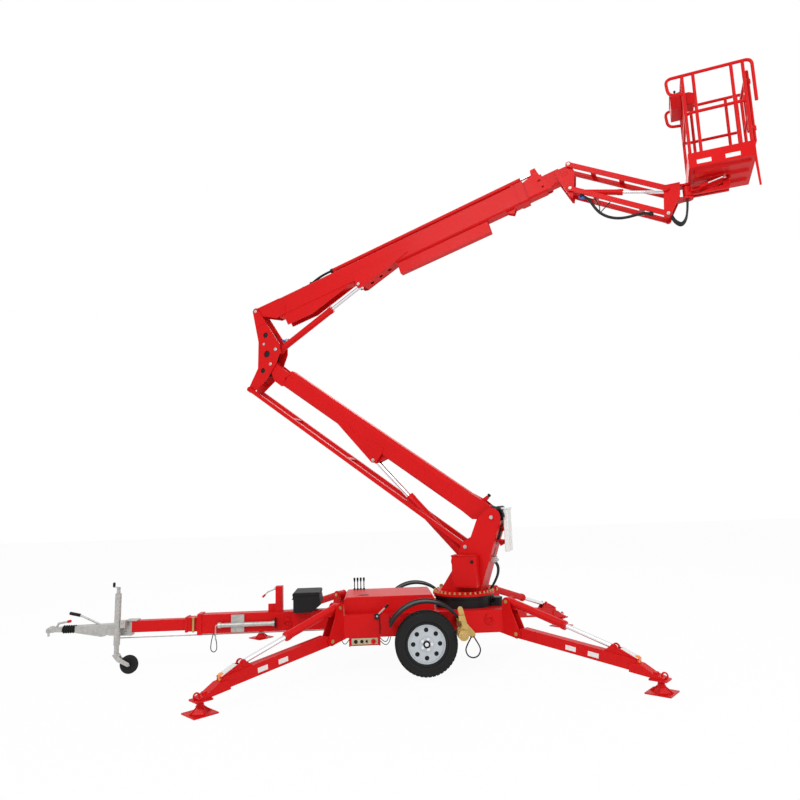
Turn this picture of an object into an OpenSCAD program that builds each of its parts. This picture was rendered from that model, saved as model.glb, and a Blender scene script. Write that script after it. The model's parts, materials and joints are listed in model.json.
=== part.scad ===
// Towable articulated boom lift with four folding outriggers.
// Millimetres. X runs along the trailer to its rear, Y across it, Z up from the ground.
// The origin is on the ground under the middle of the axle.

/* [Trailer] */
// Half the length of the chassis side beams
beam_half_length = 960; // [800:1200]
// Distance from the middle to the outer face of a side beam
beam_outer_y = 500; // [420:560]
// Width of a side beam
beam_width = 120; // [80:160]
// Height of the underside of the side beams
beam_bottom = 375; // [340:420]
// Height of the top of the side beams
beam_top = 612; // [580:660]
// Height of the deck plate's upper face
deck_top = 600; // [560:640]
// Front end of the drawbar
drawbar_front_x = -3290; // [-3500:-3000]
// Place where the thin drawbar tube enters the thick one
drawbar_step_x = -2540; // [-2800:-2300]
// Height of the drawbar's axis
drawbar_z = 500; // [440:560]

/* [Wheels] */
// Tyre radius
tyre_radius = 325; // [290:360]
// Tyre width
tyre_width = 185; // [150:220]
// Distance from the middle to the middle of a tyre
wheel_y = 770; // [700:850]
// Height of the axle
axle_z = 352; // [320:380]
// Rim radius
rim_radius = 195; // [170:220]

/* [Outriggers] */
// Place of a leg pivot along the trailer
leg_x = 1031; // [950:1150]
// Place of a leg pivot across the trailer
leg_y = 568; // [520:640]
// Angle of a leg to the trailer's length, seen from above
leg_splay = 43; // [30:60]
// Height of a leg pivot
leg_z = 372; // [330:420]
// Slope of a lowered leg
leg_slope = 7.3; // [0:20]
// Distance from a leg pivot to its foot
foot_reach = 1475; // [1300:1700]
// Half the width of a leg
leg_half_width = 47; // [40:60]
// Distance of the cylinder lug along a leg
lug_along = 1053; // [900:1150]
// Height of the cylinder lug over a leg's pivot line
lug_height = 116; // [110:140]
// Distance of the upper cylinder pin behind a leg pivot
ram_back = 110; // [60:160]
// Height of the upper cylinder pin
ram_z = 700; // [660:760]
// Length of an outrigger cylinder barrel
ram_barrel = 695; // [600:700]
// Side of a square foot pad
pad_side = 240; // [180:300]

/* [Turntable] */
// Place of the slewing axis along the trailer
slew_x = 520; // [300:700]
// Angle of the boom to the trailer's length
slew_deg = -25; // [-30:0]
// Height of the top of the slewing ring
ring_top = 780; // [760:820]
// Radius of the slewing drum
drum_radius = 330; // [280:380]
// Height of the slewing drum
drum_height = 104; // [80:120]
// Half the distance between the mast's side plates
mast_half_gap = 155; // [140:180]
// Thickness of mast and knuckle plates
plate = 12; // [8:16]

/* [Lower boom] */
// Place of the lower boom's foot behind the slewing axis
boom_foot_x = 422; // [350:480]
// Height of the lower boom's foot
boom_foot_z = 1606; // [1500:1700]
// Distance between the lower boom's pivots
boom_length = 3726; // [3000:4200]
// Angle of the lower boom over the horizontal
boom_rise = 35.2; // [20:50]
// Tie rod foot, before the boom's foot
tie_dx = 327; // [280:380]
// Tie rod foot, below the boom's foot
tie_dz = 331; // [280:380]
// Half the width of the boom boxes
boom_half_width = 80; // [70:84]
// Depth of the lower boom's box
lower_depth = 237; // [220:250]
// Lower cylinder's lug, along the lower boom
lower_lug_along = 1660; // [1400:1900]
// Lower cylinder's lug, under the boom's pivot line
lower_lug_drop = 270; // [260:320]

/* [Knuckle] */
// Half the distance between the knuckle's plates
knuckle_half_gap = 92; // [90:100]
// Upper boom's pivot, before the lower boom's
knuckle_dx = 256; // [200:300]
// Upper boom's pivot, above the lower boom's
knuckle_dz = 793; // [700:900]

/* [Upper boom] */
// Angle of the upper boom over the horizontal
upper_rise = 15.3; // [0:30]
// Length of the upper boom's box from its pivot
upper_length = 4020; // [3500:4500]
// Depth of the upper boom's box
upper_depth = 270; // [240:300]
// Upper cylinder's lug, along the upper boom
upper_lug_along = 1614; // [1400:1800]
// Upper cylinder's lug, under the upper boom's axis
upper_lug_drop = 285; // [270:320]
// Distance of the levelling pin along the upper boom
tip_along = 4515; // [4300:4800]

/* [Jib and basket] */
// Distance between the pins of a jib arm
jib_length = 1158; // [900:1300]
// Slope of the jib
jib_slope = 27.3; // [10:40]
// Distance between the jib's arms
jib_spread = 305; // [250:350]
// Height of the basket's floor
floor_z = 5250; // [5100:5400]
// Length of the basket's floor along the boom
basket_length = 640; // [560:800]
// Width of the basket's floor
basket_width = 700; // [600:900]
// Height of the basket's top rail over its floor
rail_height = 1095; // [1000:1150]
// Radius of the basket's tubes
rail_radius = 17; // [14:20]

/* [Hidden] */
$fn = 40;
slip = 0.05;
side_signs = [-1, 1];
// name, end along X, side across Y
leg_table = [["front_left", -1, -1], ["front_right", -1, 1], ["rear_left", 1, -1], ["rear_right", 1, 1]];
function leg_end(i) = leg_table[i][1];
function leg_side(i) = leg_table[i][2];
leg_tip_x = foot_reach;
knuckle_x = boom_foot_x - boom_length * cos(boom_rise);
knuckle_z = boom_foot_z + boom_length * sin(boom_rise);
upper_x = knuckle_x - knuckle_dx;
upper_z = knuckle_z + knuckle_dz;
box_mid = -88;
lower_mid = -38;
arm_y = boom_half_width + 24;
tip_x = upper_x + tip_along * cos(upper_rise) - box_mid * sin(upper_rise);
tip_z = upper_z + tip_along * sin(upper_rise) + box_mid * cos(upper_rise);
jib_top = [tip_x + 67, tip_z + 71];
jib_low = [tip_x + 67, tip_z + 71 - jib_spread];
head_top = [jib_top[0] + jib_length * cos(jib_slope), jib_top[1] - jib_length * sin(jib_slope)];
head_low = [head_top[0], head_top[1] - jib_spread];
swing_x = head_top[0] + 215;
basket_x = swing_x + 20;
post_y = basket_width / 2 - 6 - rail_radius - 0.2;
gate_x = basket_x + basket_length + 15;
mast_foot = [170, 1010];
knuckle_foot = [knuckle_x + 80, knuckle_z + 200];

// A cylinder lying across, from y0 to y1
module across(x, z, r, y0, y1) {
    translate([x, y1, z])
        rotate([90, 0, 0])
            cylinder(r = r, h = y1 - y0);
}

// A plate standing on edge, from y to y plus t, of an outline in X and Z
module upright(y, t) {
    translate([0, y + t, 0])
        rotate([90, 0, 0])
            linear_extrude(height = t)
                children();
}

// The same upright plate on both sides of the middle
module both_sides(y, t) {
    upright(y, t)
        children();
    upright(-y - t, t)
        children();
}

// A block given by its two opposite corners
module block(a, b) {
    translate(a)
        cube(b - a);
}

// A straight round tube between two points
module tube(a, b, r) {
    d = b - a;
    flat = norm([d[0], d[1]]);
    translate(a)
        rotate([0, atan2(flat, d[2]), atan2(d[1], d[0])])
            cylinder(r = r, h = norm(d), $fn = 24);
}

// A bar along X of an outline in Y and Z
module along_x(x0, x1) {
    translate([x0, 0, 0])
        rotate([90, 0, 90])
            linear_extrude(height = x1 - x0)
                children();
}

// The outline of a boom box with folded edges
function folded(half, low, top, low_fold, top_fold) = [
    [-half, low + low_fold], [-half + low_fold, low], [half - low_fold, low], [half, low + low_fold],
    [half, top - top_fold], [half - top_fold * 0.7, top], [-half + top_fold * 0.7, top], [-half, top - top_fold]];

// The turntable's frame, turned on the slewing axis
module turned() {
    translate([slew_x, 0, 0])
        rotate([0, 0, slew_deg])
            children();
}

// The lower boom's frame: its foot at 0, the boom along -X
module lower_frame() {
    turned()
        translate([boom_foot_x, 0, boom_foot_z])
            rotate([0, boom_rise, 0])
                children();
}

// The upper boom's frame: its pivot at 0, the boom along +X
module upper_frame() {
    turned()
        translate([upper_x, 0, upper_z])
            rotate([0, -upper_rise, 0])
                children();
}

// A frame in the boom's plane at point p, with X towards point q
module towards(p, q) {
    turned()
        translate([p[0], 0, p[1]])
            rotate([0, -atan2(q[1] - p[1], q[0] - p[0]), 0])
                children();
}

// The frame of one outrigger: its pivot over 0, the leg along +X
module leg_frame(i) {
    translate([leg_end(i) * leg_x, leg_side(i) * leg_y, 0])
        rotate([0, 0, atan2(leg_side(i) * sin(leg_splay), leg_end(i) * cos(leg_splay))])
            children();
}

// The sloping frame of a lowered leg, its pivot at 0
module sloped(i) {
    leg_frame(i)
        translate([0, 0, leg_z])
            rotate([0, leg_slope, 0])
                children();
}

// A cylinder barrel along +X from the pin at 0, bored for its rod
module barrel_shape(length, r, rod_r, pin_r, half_width) {
    difference() {
        union() {
            rotate([0, 90, 0])
                cylinder(r = r, h = length - 40);
            translate([length - 60, 0, 0])
                rotate([0, 90, 0])
                    cylinder(r = r + 3, h = 60);
            across(0, 0, r, -half_width, half_width);
        }
        translate([r + 8, 0, 0])
            rotate([0, 90, 0])
                cylinder(r = rod_r + slip, h = length);
        across(0, 0, pin_r + slip, -half_width - 1, half_width + 1);
    }
}

// A rod that ends in an eye at 0 and reaches back along -X
module rod_shape(length, rod_r, eye_r, half_width) {
    difference() {
        union() {
            translate([-length, 0, 0])
                rotate([0, 90, 0])
                    cylinder(r = rod_r, h = length - eye_r * 0.4);
            across(0, 0, eye_r, -half_width, half_width);
        }
        across(0, 0, eye_r * 0.5, -half_width - 1, half_width + 1);
    }
}

// Trailer

module bracket_outline() {
    difference() {
        union() {
            polygon([[-255, beam_bottom + 5], [-255, deck_top - 4], [-170, deck_top - 4], [-150, ram_z + 20],
                [-70, ram_z + 20], [-45, deck_top], [45, leg_z + 10], [40, leg_z - 30], [-20, leg_z - 42]]);
            translate([-ram_back, ram_z])
                circle(r = 45);
            translate([0, leg_z])
                circle(r = 48);
        }
    }
}

module leg_bracket(i) {
    gap = leg_half_width + 5;
    leg_frame(i) {
        both_sides(gap, plate)
            bracket_outline();
        across(-ram_back, ram_z, 20, -gap - plate - 8, gap + plate + 8);
        across(0, leg_z, 25, -gap - plate - 8, gap + plate + 8);
    }
}

module chassis_frame() {
    color("red") {
        for (s = side_signs)
            translate([-beam_half_length, s < 0 ? -beam_outer_y : beam_outer_y - beam_width, beam_bottom])
                cube([2 * beam_half_length, beam_width, beam_top - beam_bottom]);
        for (x = [-beam_half_length, beam_half_length - 120])
            block([x, -beam_outer_y + 10, beam_bottom], [x + 120, beam_outer_y - 10, deck_top]);
        block([-beam_half_length + 20, -beam_outer_y + 20, deck_top - 10],
            [beam_half_length - 20, beam_outer_y - 20, deck_top]);
        block([slew_x - 320, -beam_outer_y + 20, beam_bottom], [slew_x - 220, beam_outer_y - 20, deck_top]);
        for (i = [0 : 3])
            leg_bracket(i);
        across(0, axle_z, 42, -640, 640);
        for (s = side_signs) {
            across(0, axle_z, 75, s < 0 ? -648 : 630, s < 0 ? -630 : 648);
            across(0, axle_z, 29.95, s < 0 ? -wheel_y - 60 : 640, s < 0 ? -640 : wheel_y + 60);
        }
        for (s = side_signs)
            block([-70, s * 430 - 40, axle_z - 30], [70, s * 430 + 40, beam_bottom + 5]);
    }
}

module hood() {
    color("red")
        difference() {
            block([-868, -328, deck_top], [140, 328, 774]);
            block([-863, -323, deck_top - 1], [135, 323, 769]);
        }
}

module power_pack() {
    color("dimgray")
        block([-780, -260, deck_top], [80, 260, 745]);
}

module drawbar() {
    color("red") {
        block([drawbar_step_x, -70, drawbar_z - 105], [-beam_half_length, 70, drawbar_z + 105]);
        block([drawbar_front_x, -50, drawbar_z - 62], [drawbar_step_x, 50, drawbar_z + 62]);
        block([drawbar_step_x - 10, -80, drawbar_z - 115], [drawbar_step_x + 40, 80, drawbar_z + 115]);
        across(drawbar_step_x + 65, drawbar_z, 14, -82, 82);
        block([-1672, -45, drawbar_z + 100], [-1592, 45, 886]);
        block([-1760, -8, drawbar_z + 100], [-1672, 8, drawbar_z + 190]);
    }
}

module coupling() {
    color("silver") {
        block([drawbar_front_x - 60, -62, drawbar_z - 10], [drawbar_front_x, 62, drawbar_z + 74]);
        block([drawbar_front_x - 330, -45, drawbar_z - 30], [drawbar_front_x - 50, 45, drawbar_z + 60]);
        translate([drawbar_front_x - 620, 0, drawbar_z + 8])
            rotate([0, 90, 0])
                cylinder(r1 = 30, r2 = 42, h = 300);
        translate([drawbar_front_x - 780, 0, drawbar_z + 8])
            rotate([0, 90, 0])
                cylinder(r = 24, h = 170);
        difference() {
            block([drawbar_front_x - 960, -42, drawbar_z - 40], [drawbar_front_x - 760, 42, drawbar_z + 36]);
            translate([drawbar_front_x - 905, 0, drawbar_z - 41])
                cylinder(r = 26, h = 46);
        }
        tube([drawbar_front_x - 330, 0, drawbar_z + 40], [drawbar_front_x - 640, 0, drawbar_z + 165], 9);
        tube([drawbar_front_x - 800, 0, drawbar_z + 30], [drawbar_front_x - 730, 0, drawbar_z + 95], 10);
    }
}

module toolbox() {
    color("black")
        upright(-200, 400)
            polygon([[-1450, drawbar_z + 105], [-1125, drawbar_z + 105], [-1125, 905], [-1180, 905], [-1450, 860]]);
}

module mudguards() {
    color("black")
        for (s = side_signs)
            difference() {
                intersection() {
                    across(0, axle_z, 425, s < 0 ? -870 : 670, s < 0 ? -670 : 870);
                    block([-500, -900, 400], [500, 900, 900]);
                }
                across(0, axle_z, 417, s < 0 ? -871 : 669, s < 0 ? -669 : 871);
            }
    color("black")
        for (s = side_signs)
            for (x = [-366, 366])
                block([x - 15, s < 0 ? -680 : beam_outer_y + 0.2, 545], [x + 15, s < 0 ? -beam_outer_y - 0.2 : 680, 575]);
}

module drive_units() {
    color("goldenrod")
        for (s = side_signs) {
            block([440, s < 0 ? -560 : 500, 470], [520, s < 0 ? -500 : 560, 640]);
            across(480, 440, 55, s < 0 ? -780 : 540, s < 0 ? -540 : 780);
            block([445, s < 0 ? -640 : 555, 480], [515, s < 0 ? -555 : 640, 600]);
        }
}

module slew_drum() {
    color("black") {
        translate([slew_x, 0, deck_top])
            cylinder(r = drum_radius, h = drum_height, $fn = 64);
        translate([slew_x + drum_radius + 40, -130, deck_top])
            cylinder(r = 60, h = 95);
        block([slew_x + drum_radius - 40, -180, deck_top], [slew_x + drum_radius + 40, -80, deck_top + 40]);
    }
}

module ground_control() {
    color("red") {
        block([-800, -495, 290], [-490, -485, beam_bottom]);
        block([-815, -500, 285], [-800, -440, beam_bottom]);
        block([-490, -500, 285], [-475, -440, beam_bottom]);
        block([-800, -485, 290], [-490, -445, 300]);
    }
}

module spare_jack() {
    color("silver") {
        block([-2166, -90, drawbar_z - 95], [-2020, -70, drawbar_z + 95]);
        translate([-2300, -110, drawbar_z - 10])
            rotate([0, 90, 0])
                cylinder(r = 24, h = 640);
    }
}

module jockey_clamp() {
    color("silver") {
        difference() {
            union() {
                translate([-3424, -120, 320])
                    cylinder(r = 34, h = 560);
                block([-3460, -120, 480], [-3390, -45.2, 550]);
            }
            translate([-3424, -120, 300])
                cylinder(r = 26 + slip, h = 540);
        }
        translate([-3424, -120, 880])
            cylinder(r = 20, h = 55);
    }
}

module jockey_leg() {
    color("silver") {
        translate([-3424, -120, 225])
            cylinder(r = 26, h = 330);
        block([-3450, -145, 215], [-3280, -95, 232]);
        for (y = [-152, -96])
            block([-3300, y, 95], [-3260, y + 8, 232]);
        block([-3300, -152, 215], [-3260, -88, 232]);
        across(-3280, 112, 8, -152, -88);
    }
}

module jockey_wheel() {
    color("black")
        difference() {
            across(-3280, 112, 100, -138, -102);
            across(-3280, 112, 8 + slip, -140, -100);
        }
}

// Wheels

module tyre(s) {
    color("black")
        translate([0, s * wheel_y, axle_z])
            rotate([90, 0, 0])
                rotate_extrude($fn = 72)
                    polygon([[rim_radius + 1, -tyre_width / 2 + 22], [rim_radius + 40, -tyre_width / 2],
                        [tyre_radius - 35, -tyre_width / 2], [tyre_radius - 6, -tyre_width / 2 + 22],
                        [tyre_radius, 0], [tyre_radius - 6, tyre_width / 2 - 22], [tyre_radius - 35, tyre_width / 2],
                        [rim_radius + 40, tyre_width / 2], [rim_radius + 1, tyre_width / 2 - 22]]);
}

module rim(s) {
    color("silver")
        translate([0, s * wheel_y, axle_z])
            rotate([s * 90, 0, 0])
                difference() {
                    union() {
                        difference() {
                            cylinder(r = rim_radius + 1, h = tyre_width - 44, center = true, $fn = 64);
                            cylinder(r = rim_radius - 9, h = tyre_width, center = true, $fn = 64);
                        }
                        translate([0, 0, -50])
                            cylinder(r = rim_radius - 5, h = 14, $fn = 64);
                        translate([0, 0, -66])
                            cylinder(r = 70, h = 30);
                    }
                    translate([0, 0, -80])
                        cylinder(r = 30, h = 160);
                    for (k = [0 : 7])
                        rotate([0, 0, k * 45])
                            translate([140, 0, -60])
                                cylinder(r = 24, h = 40, $fn = 24);
                }
}

module tyre_left() { tyre(-1); }
module tyre_right() { tyre(1); }
module rim_left() { rim(-1); }
module rim_right() { rim(1); }

// Outriggers

module leg(i) {
    tip = leg_tip_x;
    color("red")
        sloped(i)
            difference() {
                union() {
                    upright(-leg_half_width, 2 * leg_half_width)
                        polygon([[0, -45], [tip - 180, -45], [tip - 180, 45], [tip - 215, 70], [70, 70], [0, 45]]);
                    across(0, 0, 45, -leg_half_width, leg_half_width);
                    both_sides(25, 12) {
                        polygon([[lug_along - 110, 60], [lug_along - 36, lug_height + 10], [lug_along + 36, lug_height + 10],
                            [lug_along + 250, 60]]);
                        translate([lug_along, lug_height])
                            circle(r = 38);
                    }
                    across(lug_along, lug_height, 20, -45, -30);
                    across(lug_along, lug_height, 20, 30, 45);
                    upright(-45, 90)
                        polygon([[lug_along + 58, lug_height + 1], [lug_along + 61, lug_height + 11],
                            [lug_along + 243, 72], [lug_along + 240, 62]]);
                    upright(-leg_half_width - 8, 2 * leg_half_width + 16)
                        polygon([[tip - 260, -60], [tip - 260, 32], [tip - 150, 32], [tip - 30, -20], [tip + 60, -36],
                            [tip + 60, -60]]);
                }
                across(0, 0, 25 + slip, -100, 100);
                block([lug_along - 70, -24.6, 52], [lug_along + 55, 24.6, lug_height + 60]);
            }
    color("red")
        leg_frame(i) {
            block([foot_reach - 90, -70, 112], [foot_reach + 75, 70, 128]);
            translate([foot_reach + 40, 0, 158])
                rotate([90, 0, 0])
                    rotate_extrude()
                        translate([26, 0])
                            circle(r = 8, $fn = 16);
        }
    color("orange")
        leg_frame(i)
            translate([foot_reach - 35, 0, 120])
                cylinder(r1 = 30, r2 = 24, h = 62);
}

module foot(i) {
    color("red")
        leg_frame(i)
            translate([foot_reach, 0, 0]) {
                translate([-pad_side / 2, -pad_side / 2, 0])
                    cube([pad_side, pad_side, 12]);
                cylinder(r1 = 100, r2 = 40, h = 60, $fn = 4);
                cylinder(r = 28, h = 111.8);
            }
}

module leg_barrel(i) {
    p = [-ram_back, ram_z];
    q = lug_point();
    color("red")
        leg_frame(i)
            translate([p[0], 0, p[1]])
                rotate([0, -atan2(q[1] - p[1], q[0] - p[0]), 0])
                    barrel_shape(ram_barrel, 42, 24, 20, leg_half_width);
}

module leg_rod(i) {
    p = [-ram_back, ram_z];
    q = lug_point();
    color("lightgray")
        leg_frame(i)
            translate([q[0], 0, q[1]])
                rotate([0, -atan2(q[1] - p[1], q[0] - p[0]), 0])
                    rod_shape(ram_barrel - 10, 24, 30, 20);
}

// Lug of a lowered leg, in its leg frame
function lug_point() = [lug_along * cos(leg_slope) + lug_height * sin(leg_slope),
    leg_z - lug_along * sin(leg_slope) + lug_height * cos(leg_slope)];

module leg_front_left() { leg(0); }
module leg_front_right() { leg(1); }
module leg_rear_left() { leg(2); }
module leg_rear_right() { leg(3); }
module foot_front_left() { foot(0); }
module foot_front_right() { foot(1); }
module foot_rear_left() { foot(2); }
module foot_rear_right() { foot(3); }
module leg_barrel_front_left() { leg_barrel(0); }
module leg_barrel_front_right() { leg_barrel(1); }
module leg_barrel_rear_left() { leg_barrel(2); }
module leg_barrel_rear_right() { leg_barrel(3); }
module leg_rod_front_left() { leg_rod(0); }
module leg_rod_front_right() { leg_rod(1); }
module leg_rod_rear_left() { leg_rod(2); }
module leg_rod_rear_right() { leg_rod(3); }

// Turntable

module slew_ring() {
    color("red")
        turned()
            translate([0, 0, deck_top + drum_height + 0.3])
                cylinder(r = drum_radius + 30, h = ring_top - deck_top - drum_height - 0.3, $fn = 64);
}

module mast_outline() {
    polygon([[-227, ring_top], [-60, 1030], [20, 1230], [60, 1330], [165, 1385], [250, 1590], [345, boom_foot_z + 70],
        [boom_foot_x + 100, boom_foot_z - 30], [255, ring_top]]);
    translate([boom_foot_x, boom_foot_z])
        circle(r = 105);
    translate([boom_foot_x - tie_dx, boom_foot_z - tie_dz])
        circle(r = 48);
}

module mast() {
    color("red")
        turned() {
            both_sides(mast_half_gap, plate)
                mast_outline();
            upright(-mast_half_gap, 2 * mast_half_gap)
                polygon([[255 - 12, ring_top], [255, ring_top], [boom_foot_x + 100, boom_foot_z - 40],
                    [boom_foot_x + 88, boom_foot_z - 40]]);
            upright(-mast_half_gap, 2 * mast_half_gap)
                polygon([[-227, ring_top], [-147, 900], [-131, 900], [-211, ring_top]]);
            block([-227, -mast_half_gap, ring_top], [255, mast_half_gap, ring_top + 12]);
            across(boom_foot_x, boom_foot_z, 30, -mast_half_gap - plate - 10, mast_half_gap + plate + 10);
            across(mast_foot[0], mast_foot[1], 25, -mast_half_gap - plate, mast_half_gap + plate);
            for (s = side_signs)
                across(boom_foot_x - tie_dx, boom_foot_z - tie_dz, 18, s < 0 ? -mast_half_gap - plate - 8 : 106,
                    s < 0 ? -106 : mast_half_gap + plate + 8);
        }
}

module mast_box() {
    color("red")
        turned()
            block([-30, -mast_half_gap - plate - 150, 835], [255, -mast_half_gap - plate, 1178]);
}

// Lower boom

module lower_boom() {
    half = boom_half_width;
    low = lower_mid - lower_depth / 2;
    top = lower_mid + lower_depth / 2;
    la = lower_lug_along;
    ld = lower_lug_drop;
    end = -boom_length;
    color("red")
        lower_frame()
            difference() {
                union() {
                    difference() {
                        along_x(end + 326, -180)
                            polygon(folded(half, low, top, 18, 44));
                        along_x(end + 316, -190)
                            polygon(folded(half - 8, low + 8, top - 8, 14, 40));
                        block([-la - 110, -33, low - 1], [-la + 100, 33, low + 20]);
                    }
                    both_sides(half - 5, 11)
                        polygon([[-673, -140], [-640, 50], [-180, 96], [-60, 84], [40, 58], [70, 0], [40, -58], [-60, -72],
                            [-193, -163], [-344, -152]]);
                    across(0, 0, 70, -mast_half_gap + 5, mast_half_gap - 5);
                    both_sides(half - 5, 11)
                        polygon([[end - 20, 45], [end + 46, 52], [end + 356, 33], [end + 308, -48], [end + 353, -145],
                            [end + 327, -173], [end + 181, -170], [end - 40, -30]]);
                    across(end, 0, 50, -knuckle_half_gap + 5, knuckle_half_gap - 5);
                    both_sides(34, 12)
                        polygon([[-la - 260, low + 5], [-la - 40, -ld - 30], [-la + 36, -ld - 30], [-la + 130, low + 5]]);
                    both_sides(half - 4, 12)
                        polygon([[-la - 719, low + 9], [-la - 727, low + 71], [-la - 544, low + 78], [-la - 457, low + 36],
                            [-la - 306, low + 20], [-la - 165, low + 78], [-la + 33, low + 93], [-la + 55, low + 1],
                            [-la + 45, -ld - 15], [-la - 4, -ld - 39]]);
                    for (s = side_signs)
                        across(-la, -ld, 22, s < 0 ? -100 : 36, s < 0 ? -36 : 100);
                    upright(-20, 40)
                        polygon([[-240, top - 6], [-185, top - 6], [-172, top + 72], [-208, top + 76]]);
                }
                across(0, 0, 30 + slip, -200, 200);
                across(end, 0, 25 + slip, -200, 200);
            }
}

module tie_rods() {
    length = boom_length;
    color("red")
        turned()
            translate([boom_foot_x - tie_dx, 0, boom_foot_z - tie_dz])
                rotate([0, boom_rise, 0])
                    difference() {
                        union() {
                            for (s = side_signs) {
                                block([-length, s * 130 - 20, -25], [0, s * 130 + 20, 25]);
                                across(0, 0, 34, s * 130 - 20, s * 130 + 20);
                                across(-length, 0, 34, s * 130 - 20, s * 130 + 20);
                            }
                            for (x = [-1900, -2900])
                                block([x - 25, -130, -20], [x + 25, 130, 20]);
                        }
                        across(0, 0, 18 + slip, -200, 200);
                        across(-length, 0, 18 + slip, -200, 200);
                    }
}

module lower_barrel() {
    color("red")
        towards(mast_foot, lower_lug())
            barrel_shape(1190, 55, 32, 25, 60);
}

module lower_rod() {
    color("lightgray")
        towards(mast_foot, lower_lug())
            translate([norm(lower_lug() - mast_foot), 0, 0])
                rod_shape(1270, 32, 36, 29);
}

function lower_lug() = [boom_foot_x - lower_lug_along * cos(boom_rise) - lower_lug_drop * sin(boom_rise),
    boom_foot_z + lower_lug_along * sin(boom_rise) - lower_lug_drop * cos(boom_rise)];

// Knuckle

module knuckle() {
    color("red")
        turned()
            translate([knuckle_x, 0, knuckle_z]) {
                difference() {
                    union() {
                        both_sides(knuckle_half_gap, plate)
                            difference() {
                                union() {
                                    polygon([[-306, knuckle_dz], [-205, 335], [-212, -40], [-370, -320], [-330, -375],
                                        [-237, -345], [-72, -215], [82, -10], [147, 150], [147, 265], [-210, knuckle_dz + 10]]);
                                    translate([-knuckle_dx, knuckle_dz])
                                        circle(r = 50);
                                    translate([-tie_dx, -tie_dz])
                                        circle(r = 45);
                                }
                                translate([-87, 425])
                                    circle(r = 39);
                                translate([-65, 150])
                                    circle(r = 49);
                                translate([-128, -80])
                                    circle(r = 37);
                            }
                        block([-205, -knuckle_half_gap, 200], [-190, knuckle_half_gap, 330]);
                        block([-260, -knuckle_half_gap, -250], [-180, knuckle_half_gap, -235]);
                        across(-knuckle_dx, knuckle_dz, 28, -knuckle_half_gap - plate - 9, knuckle_half_gap + plate + 9);
                        across(0, 0, 25, -knuckle_half_gap - plate - 9, knuckle_half_gap + plate + 9);
                        across(80, 200, 22, -knuckle_half_gap - plate - 9, knuckle_half_gap + plate + 9);
                        for (s = side_signs)
                            across(-tie_dx, -tie_dz, 18, s < 0 ? -158 : 92, s < 0 ? -92 : 158);
                    }
                }
            }
}

// Upper boom

module upper_boom() {
    half = boom_half_width;
    top = box_mid + upper_depth / 2;
    low = box_mid - upper_depth / 2;
    la = upper_lug_along;
    ld = upper_lug_drop;
    end = upper_length;
    color("red")
        upper_frame()
            difference() {
                union() {
                    along_x(330, end)
                        polygon(folded(half, low, top, 18, 18));
                    along_x(end - 89, end + 12)
                        polygon(folded(half + 9, low - 9, top + 9, 20, 20));
                    both_sides(half - 6, 12)
                        polygon([[0, 45], [400, 42], [470, -40], [480, -90], [430, low + 9], [280, low + 9], [-20, -45], [-45, 0]]);
                    across(0, 0, 50, -half - 6, half + 6);
                    both_sides(58, 10)
                        polygon([[400, low + 6], [1500, low + 6], [850, low - 155], [430, low - 155]]);
                    difference() {
                        block([la + 586, -45, low - 155], [end - 544, 45, low + 4]);
                        block([la + 580, -41, low - 151], [end - 540, 41, low - 1]);
                    }
                    both_sides(half - 4, 14)
                        polygon([[la - 43, low + 77], [la - 26, low + 135], [la + 173, low + 125], [la + 259, low + 77],
                            [la + 441, low + 81], [la + 600, low + 120], [la + 758, low + 109], [la + 777, low + 68],
                            [la + 565, low + 7], [la + 46, -ld - 57], [la - 4, -ld - 45], [la - 40, -ld + 20]]);
                    both_sides(36, 10)
                        polygon([[la - 80, low + 6], [la - 36, -ld - 34], [la + 36, -ld - 34], [la + 110, low + 6]]);
                    for (s = side_signs)
                        across(la, -ld, 24, s < 0 ? -100 : 38, s < 0 ? -38 : 100);
                    translate([la + 46, 0, -ld - 52])
                        rotate([0, -13, 0])
                            difference() {
                                block([6, -half + 2, 0], [500, half - 2, 8]);
                                for (x = [120, 265, 410])
                                    translate([x, 0, -10])
                                        cylinder(r = 28, h = 30);
                            }
                    both_sides(30, 10)
                        polygon([[end - 296, low + 6], [end - 160, low + 6], [end - 212, low - 65], [end - 269, low - 25]]);
                }
                along_x(345, end + 20)
                    polygon(folded(half - 8, low + 8, top - 8, 14, 14));
                across(0, 0, 28 + slip, -200, 200);
            }
}

module tele_barrel() {
    top = box_mid + upper_depth / 2;
    end = upper_length;
    color("red")
        upper_frame()
            difference() {
                union() {
                    translate([1257, 0, 110])
                        rotate([0, 90, 0])
                            cylinder(r = 30, h = end - 1257);
                    for (x = [1290, end - 140])
                        block([x, -25, top], [x + 40, 25, 86]);
                }
                translate([1300, 0, 110])
                    rotate([0, 90, 0])
                        cylinder(r = 20 + slip, h = end);
            }
}

module boom_mid() {
    half = boom_half_width - 13;
    top = box_mid + upper_depth / 2 - 13;
    low = box_mid - upper_depth / 2 + 13;
    end = upper_length;
    color("red")
        upper_frame() {
            difference() {
                union() {
                    along_x(end - 2520, end + 250)
                        polygon(folded(half, low, top, 14, 14));
                    both_sides(half - 5, 12)
                        polygon([[end + 21, 28], [end + 130, 60], [end + 145, 135], [end + 207, 135], [end + 220, 60],
                            [end + 236, -2], [end + 318, -180], [end + 300, -192], [end + 21, -192]]);
                }
                along_x(end - 2530, end + 260)
                    polygon(folded(half - 8, low + 8, top - 8, 10, 10));
                across(end + 201, -48, 20, -200, 200);
                across(end + 218, -140, 16, -200, 200);
            }
            across(end + 176, 107, 14, -half - 8, half + 8);
            for (s = side_signs)
                block([end + 100, s < 0 ? -half + 7.5 : half - 12.7, box_mid - 60],
                    [end + 170, s < 0 ? -half + 12.7 : half - 7.5, box_mid + 60]);
        }
}

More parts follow.
